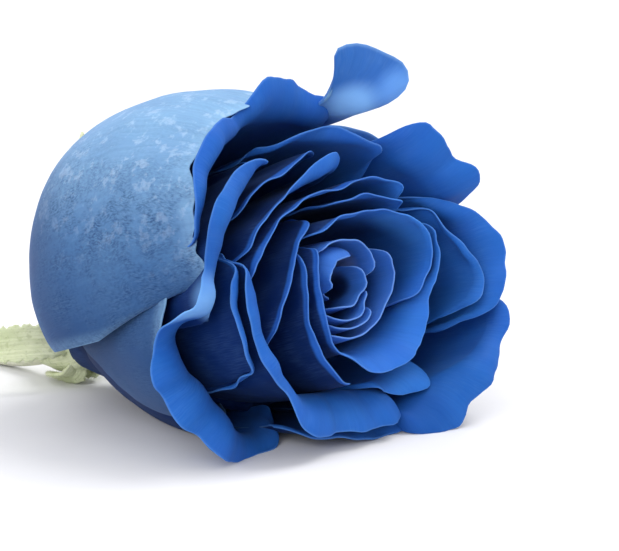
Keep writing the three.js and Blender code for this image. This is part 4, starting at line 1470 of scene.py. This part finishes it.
@dataclass(frozen=True)
class Fuzz:
    """Fine tapered hairs spread over a surface."""

    length: float
    density: float
    thickness: float = 0.05
    lean: float = 0.5
    shortest: float = 0.45
    seed: int = 7

    def grow(self, name: str, skins: list[bpy.types.Object], material: bpy.types.Material
             ) -> bpy.types.Object:
        """Grows hairs on some pieces.

        Args:
            name: the name of the piece that holds all hairs.
            skins: the pieces that they grow on.
            material: their finish.

        Returns:
            The hairs, as one mesh.
        """
        skin = self._joined(skins)
        tree = NodeModifier("Hairs on a skin", {
            "Density": ("NodeSocketFloat", self.density / MM / MM),
            "Length": ("NodeSocketFloat", self.length * MM),
            "Thickness": ("NodeSocketFloat", self.thickness * MM),
            "Lean": ("NodeSocketFloat", self.lean),
            "Seed": ("NodeSocketInt", self.seed),
            "Material": ("NodeSocketMaterial", material),
        })
        graph, given = tree.graph, tree.given.outputs
        spots = graph.node("GeometryNodeDistributePointsOnFaces", {
            "Mesh": given["Geometry"], "Density": given["Density"], "Seed": given["Seed"]})
        hair = graph.node("GeometryNodeMeshCone", {
            "Vertices": 4, "Side Segments": 2, "Radius Top": 0.0, "Radius Bottom": given["Thickness"],
            "Depth": given["Length"]}, fill_type="NONE")
        sway = graph.node("FunctionNodeRandomValue", {
            0: (-1.0, -1.0, -1.0), 1: (1.0, 1.0, 1.0), "Seed": given["Seed"]}, data_type="FLOAT_VECTOR")
        swung = graph.node("ShaderNodeVectorMath", {
            0: sway.outputs[0], "Scale": given["Lean"]}, operation="SCALE")
        way = graph.node("ShaderNodeVectorMath", {
            0: spots.outputs["Normal"], 1: swung.outputs[0]}, operation="ADD")
        stand = graph.node("FunctionNodeAlignRotationToVector", {"Vector": way.outputs[0]}, axis="Z")
        size = graph.node("FunctionNodeRandomValue", {
            "Min": self.shortest, "Max": 1.0, "Seed": given["Seed"]}, data_type="FLOAT")
        placed = graph.node("GeometryNodeInstanceOnPoints", {
            "Points": spots.outputs["Points"], "Instance": hair.outputs["Mesh"], "Rotation": stand.outputs[0],
            "Scale": size.outputs[1]})
        tree.end(placed.outputs[0])
        made = tree.bake(skin, name)
        bpy.data.objects.remove(skin)
        return made

    @staticmethod
    def _joined(skins: list[bpy.types.Object]) -> bpy.types.Object:
        """Joins copies of the skins for the scatter.

        Args:
            skins: the pieces.

        Returns:
            One object with all their faces.
        """
        points, faces = [], []
        for skin in skins:
            start = len(points)
            points += [tuple(vertex.co) for vertex in skin.data.vertices]
            faces += [[start + number for number in face.vertices] for face in skin.data.polygons]
        mesh = bpy.data.meshes.new("hair_skin")
        mesh.from_pydata(points, [], faces)
        return in_scene("hair_skin", mesh)


@dataclass
class Stem:
    """The stem, swept along its middle line, and its cut end."""

    groups: SurfaceGroups
    shift: tuple[float, float] = (59.279, -1.81)
    radius: float = 2.1
    samples: int = 60
    sides: int = 40
    spacing: float = 0.8
    knobbly: float = 0.06
    knob_length: float = 10.0
    path: tuple[tuple[float, float, float], ...] = (
        (-72.7, 0, 5.8), (-80, 0, 3.7), (-88, 0.1, 2.4), (-98, 0.6, 2.1), (-112, 1.7, 2.1), (-126, 3.6, 2.1))
    cut_sides: int = 48
    cut_profile: tuple[tuple[float, float], ...] = (
        (1.98, -0.1), (2.0, 0.06), (1.9, 0.12), (1.72, 0.08), (1.5, 0.1), (1.1, 0.09), (0.85, 0.05),
        (0.6, -0.02), (0.3, -0.04))
    cut_back: float = -0.2
    cut_middle: float = -0.04
    cut_grain: float = 3

    def build(self) -> list[bpy.types.Object]:
        """Builds and dresses the stem.

        Returns:
            Its pieces.
        """
        points = np.array(self.path) + np.array([*self.shift, 0])
        stem = self._sweep(points)
        cut = self._cut(points)
        cut.data.materials.append(CUT_WOOD.build(self.groups))
        return [stem, cut]

    def _sweep(self, points: np.ndarray) -> bpy.types.Object:
        """Sweeps a round section along the middle line.

        Args:
            points: the middle line, in millimetres.

        Returns:
            The stem's object.
        """
        fine = through(points, np.linspace(0, len(points) - 1, self.samples)) * MM
        curve = bpy.data.curves.new("stem_line", "CURVE")
        curve.dimensions = "3D"
        spline = curve.splines.new("POLY")
        spline.points.add(len(fine) - 1)
        spline.points.foreach_set("co", np.column_stack([fine, np.ones(len(fine))]).ravel())
        line = in_scene("stem_line", curve)
        tree = NodeModifier("Round section along a line", {
            "Radius": ("NodeSocketFloat", self.radius * MM),
            "Sides": ("NodeSocketInt", self.sides),
            "Spacing": ("NodeSocketFloat", self.spacing * MM),
            "Knobbly": ("NodeSocketFloat", self.knobbly),
            "Material": ("NodeSocketMaterial", STEM_GREEN.build(self.groups)),
        })
        graph, given = tree.graph, tree.given.outputs
        even = graph.node("GeometryNodeResampleCurve", {
            "Curve": given["Geometry"], "Length": given["Spacing"]}, mode="LENGTH")
        run = graph.node("GeometryNodeSplineParameter").outputs["Length"]
        marked = self._marked(graph, even.outputs[0], "along", run)
        lumps = graph.node("ShaderNodeTexNoise", {
            "W": graph.times(run, 1 / (self.knob_length * MM)), "Scale": 2.2, "Detail": 2.0},
            noise_dimensions="1D")
        swing = graph.times(graph.math("SUBTRACT", lumps.outputs["Fac"], 0.5), given["Knobbly"])
        thick = graph.node("GeometryNodeSetCurveRadius", {
            "Curve": marked, "Radius": graph.math("ADD", 1.0, graph.times(swing, 2.0))})
        circle = graph.node("GeometryNodeCurvePrimitiveCircle", {
            "Resolution": given["Sides"], "Radius": given["Radius"]})
        about = graph.node("GeometryNodeSplineParameter").outputs["Length"]
        section = self._marked(graph, circle.outputs[0], "across", about)
        tube = graph.node("GeometryNodeCurveToMesh", {
            "Curve": thick.outputs[0], "Profile Curve": section, "Fill Caps": True})
        tree.end(tube.outputs[0])
        made = tree.bake(line, "stem")
        bpy.data.objects.remove(line)
        return made

    @staticmethod
    def _marked(graph: Graph, line: bpy.types.NodeSocket, name: str, length: bpy.types.NodeSocket
                ) -> bpy.types.NodeSocket:
        """Marks a line with the length along it.

        Args:
            graph: the tree's graph.
            line: the line.
            name: the mark's name.
            length: the length along the line, in metres.

        Returns:
            The line, marked in millimetres.
        """
        stored = graph.node("GeometryNodeStoreNamedAttribute", {
            "Geometry": line, "Name": name, "Value": graph.times(length, 1 / MM)},
            data_type="FLOAT", domain="POINT")
        return stored.outputs[0]

    def _cut(self, points: np.ndarray) -> bpy.types.Object:
        """Makes the cut face: a thin disc with a raised rind, a wood ring and a sunken pith.

        Args:
            points: the stem's middle line, in millimetres.

        Returns:
            The cut's object.
        """
        end = points[-1]
        way = (points[-1] - points[-2]) / np.linalg.norm(points[-1] - points[-2])
        side = np.cross(way, [0, 0, 1])
        side /= np.linalg.norm(side)
        up = np.cross(side, way)
        profile = np.array(self.cut_profile)
        bearing = np.linspace(0, 2 * math.pi, self.cut_sides, endpoint=False)
        out = np.cos(bearing)[:, None] * side + np.sin(bearing)[:, None] * up
        rings = end + profile[:, None, :1] * out[None] + profile[:, None, 1:] * way
        ends = np.array([end + self.cut_back * way, end + self.cut_middle * way])
        disc, faces = closed_rings(rings, ends[:1], ends[1:])
        marks = {
            "across": np.concatenate([np.repeat(profile[:, 0], self.cut_sides), [0, 0]]),
            "along": np.concatenate([np.tile(bearing * self.cut_grain, len(profile)), [0, 0]]),
        }
        return mesh_object("stem_cut", disc, faces, marks)


@dataclass(frozen=True)
class Lamp:
    """A soft light: a square panel of a size in metres, or a parallel one of an angle in radians."""

    name: str
    place: tuple[float, float, float]
    aim: tuple[float, float, float]
    size: float
    power: float
    parallel: bool = False

    def build(self) -> bpy.types.Object:
        """Makes the light.

        Returns:
            The light's object.
        """
        light = bpy.data.lights.new(self.name, "SUN" if self.parallel else "AREA")
        if self.parallel:
            light.angle = self.size
        else:
            light.size = self.size
        light.energy = self.power
        made = in_scene(self.name, light)
        made.location = self.place
        made.rotation_euler = (Vector(self.aim) - Vector(self.place)).to_track_quat("-Z", "Y").to_euler()
        return made


@dataclass
class Studio:
    """The floor, the light and the camera, in metres."""

    floor_size: float = 6.0
    sky: float = 1.06
    lamps: tuple[Lamp, ...] = (
        Lamp("key", (0.16, 0.42, 0.8), (0.02, 0, 0.03), 0.55, 1.5, parallel=True),
        Lamp("fill", (0.35, -0.6, 0.35), (0, 0, 0.03), 0.5, 2.8),
    )
    camera_place: tuple[float, float, float] = (0.239794, -0.200873, 0.07027)
    azimuth: float = 43.4
    elevation: float = 9.0
    lens: float = 100.0
    sensor: float = 36.0
    nearest: float = 0.01

    def build(self) -> None:
        """Sets up the floor, the light and the camera."""
        half = self.floor_size / 2 / MM
        points = np.array([(-half, -half, 0), (half, -half, 0), (half, half, 0), (-half, half, 0)])
        floor = mesh_object("floor", points, [[0, 1, 2, 3]], {})
        floor.data.materials.append(FloorFinish().build())
        for lamp in self.lamps:
            lamp.build()
        self._sky()
        self._camera()

    def _sky(self) -> None:
        """Sets a plain white surround."""
        world = bpy.data.worlds.new("studio_surround")
        world.use_nodes = True
        background = world.node_tree.nodes["Background"]
        background.inputs["Color"].default_value = (1, 1, 1, 1)
        background.inputs["Strength"].default_value = self.sky
        bpy.context.scene.world = world
        bpy.context.scene.view_settings.view_transform = "Standard"

    def _camera(self) -> None:
        """Places the camera level with the bloom, turned to its face by three quarters."""
        turn, rise = math.radians(self.azimuth), math.radians(self.elevation)
        back = Vector((math.sin(turn) * math.cos(rise), -math.cos(turn) * math.cos(rise), math.sin(rise)))
        data = bpy.data.cameras.new("camera")
        data.lens = self.lens
        data.sensor_width = self.sensor
        data.clip_start = self.nearest
        camera = in_scene("camera", data)
        camera.location = self.camera_place
        camera.rotation_mode = "QUATERNION"
        camera.rotation_quaternion = (-back).to_track_quat("-Z", "Y")
        bpy.context.scene.camera = camera


def main() -> None:
    """Builds the rose and its studio, and logs how many faces each piece has."""
    logging.basicConfig(level=logging.INFO, format="%(message)s")
    groups = SurfaceGroups()
    Studio().build()
    bloom = Bloom(groups).build()
    green = [*Calyx(groups).build(), *Stem(groups).build()]
    for piece in green:
        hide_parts("stem_and_calyx")
        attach(piece, "root")
    for piece in (*bloom, *green):
        LOG.info("%s: %d faces", piece.name, len(piece.data.polygons))


if __name__ == "__main__":
    main()
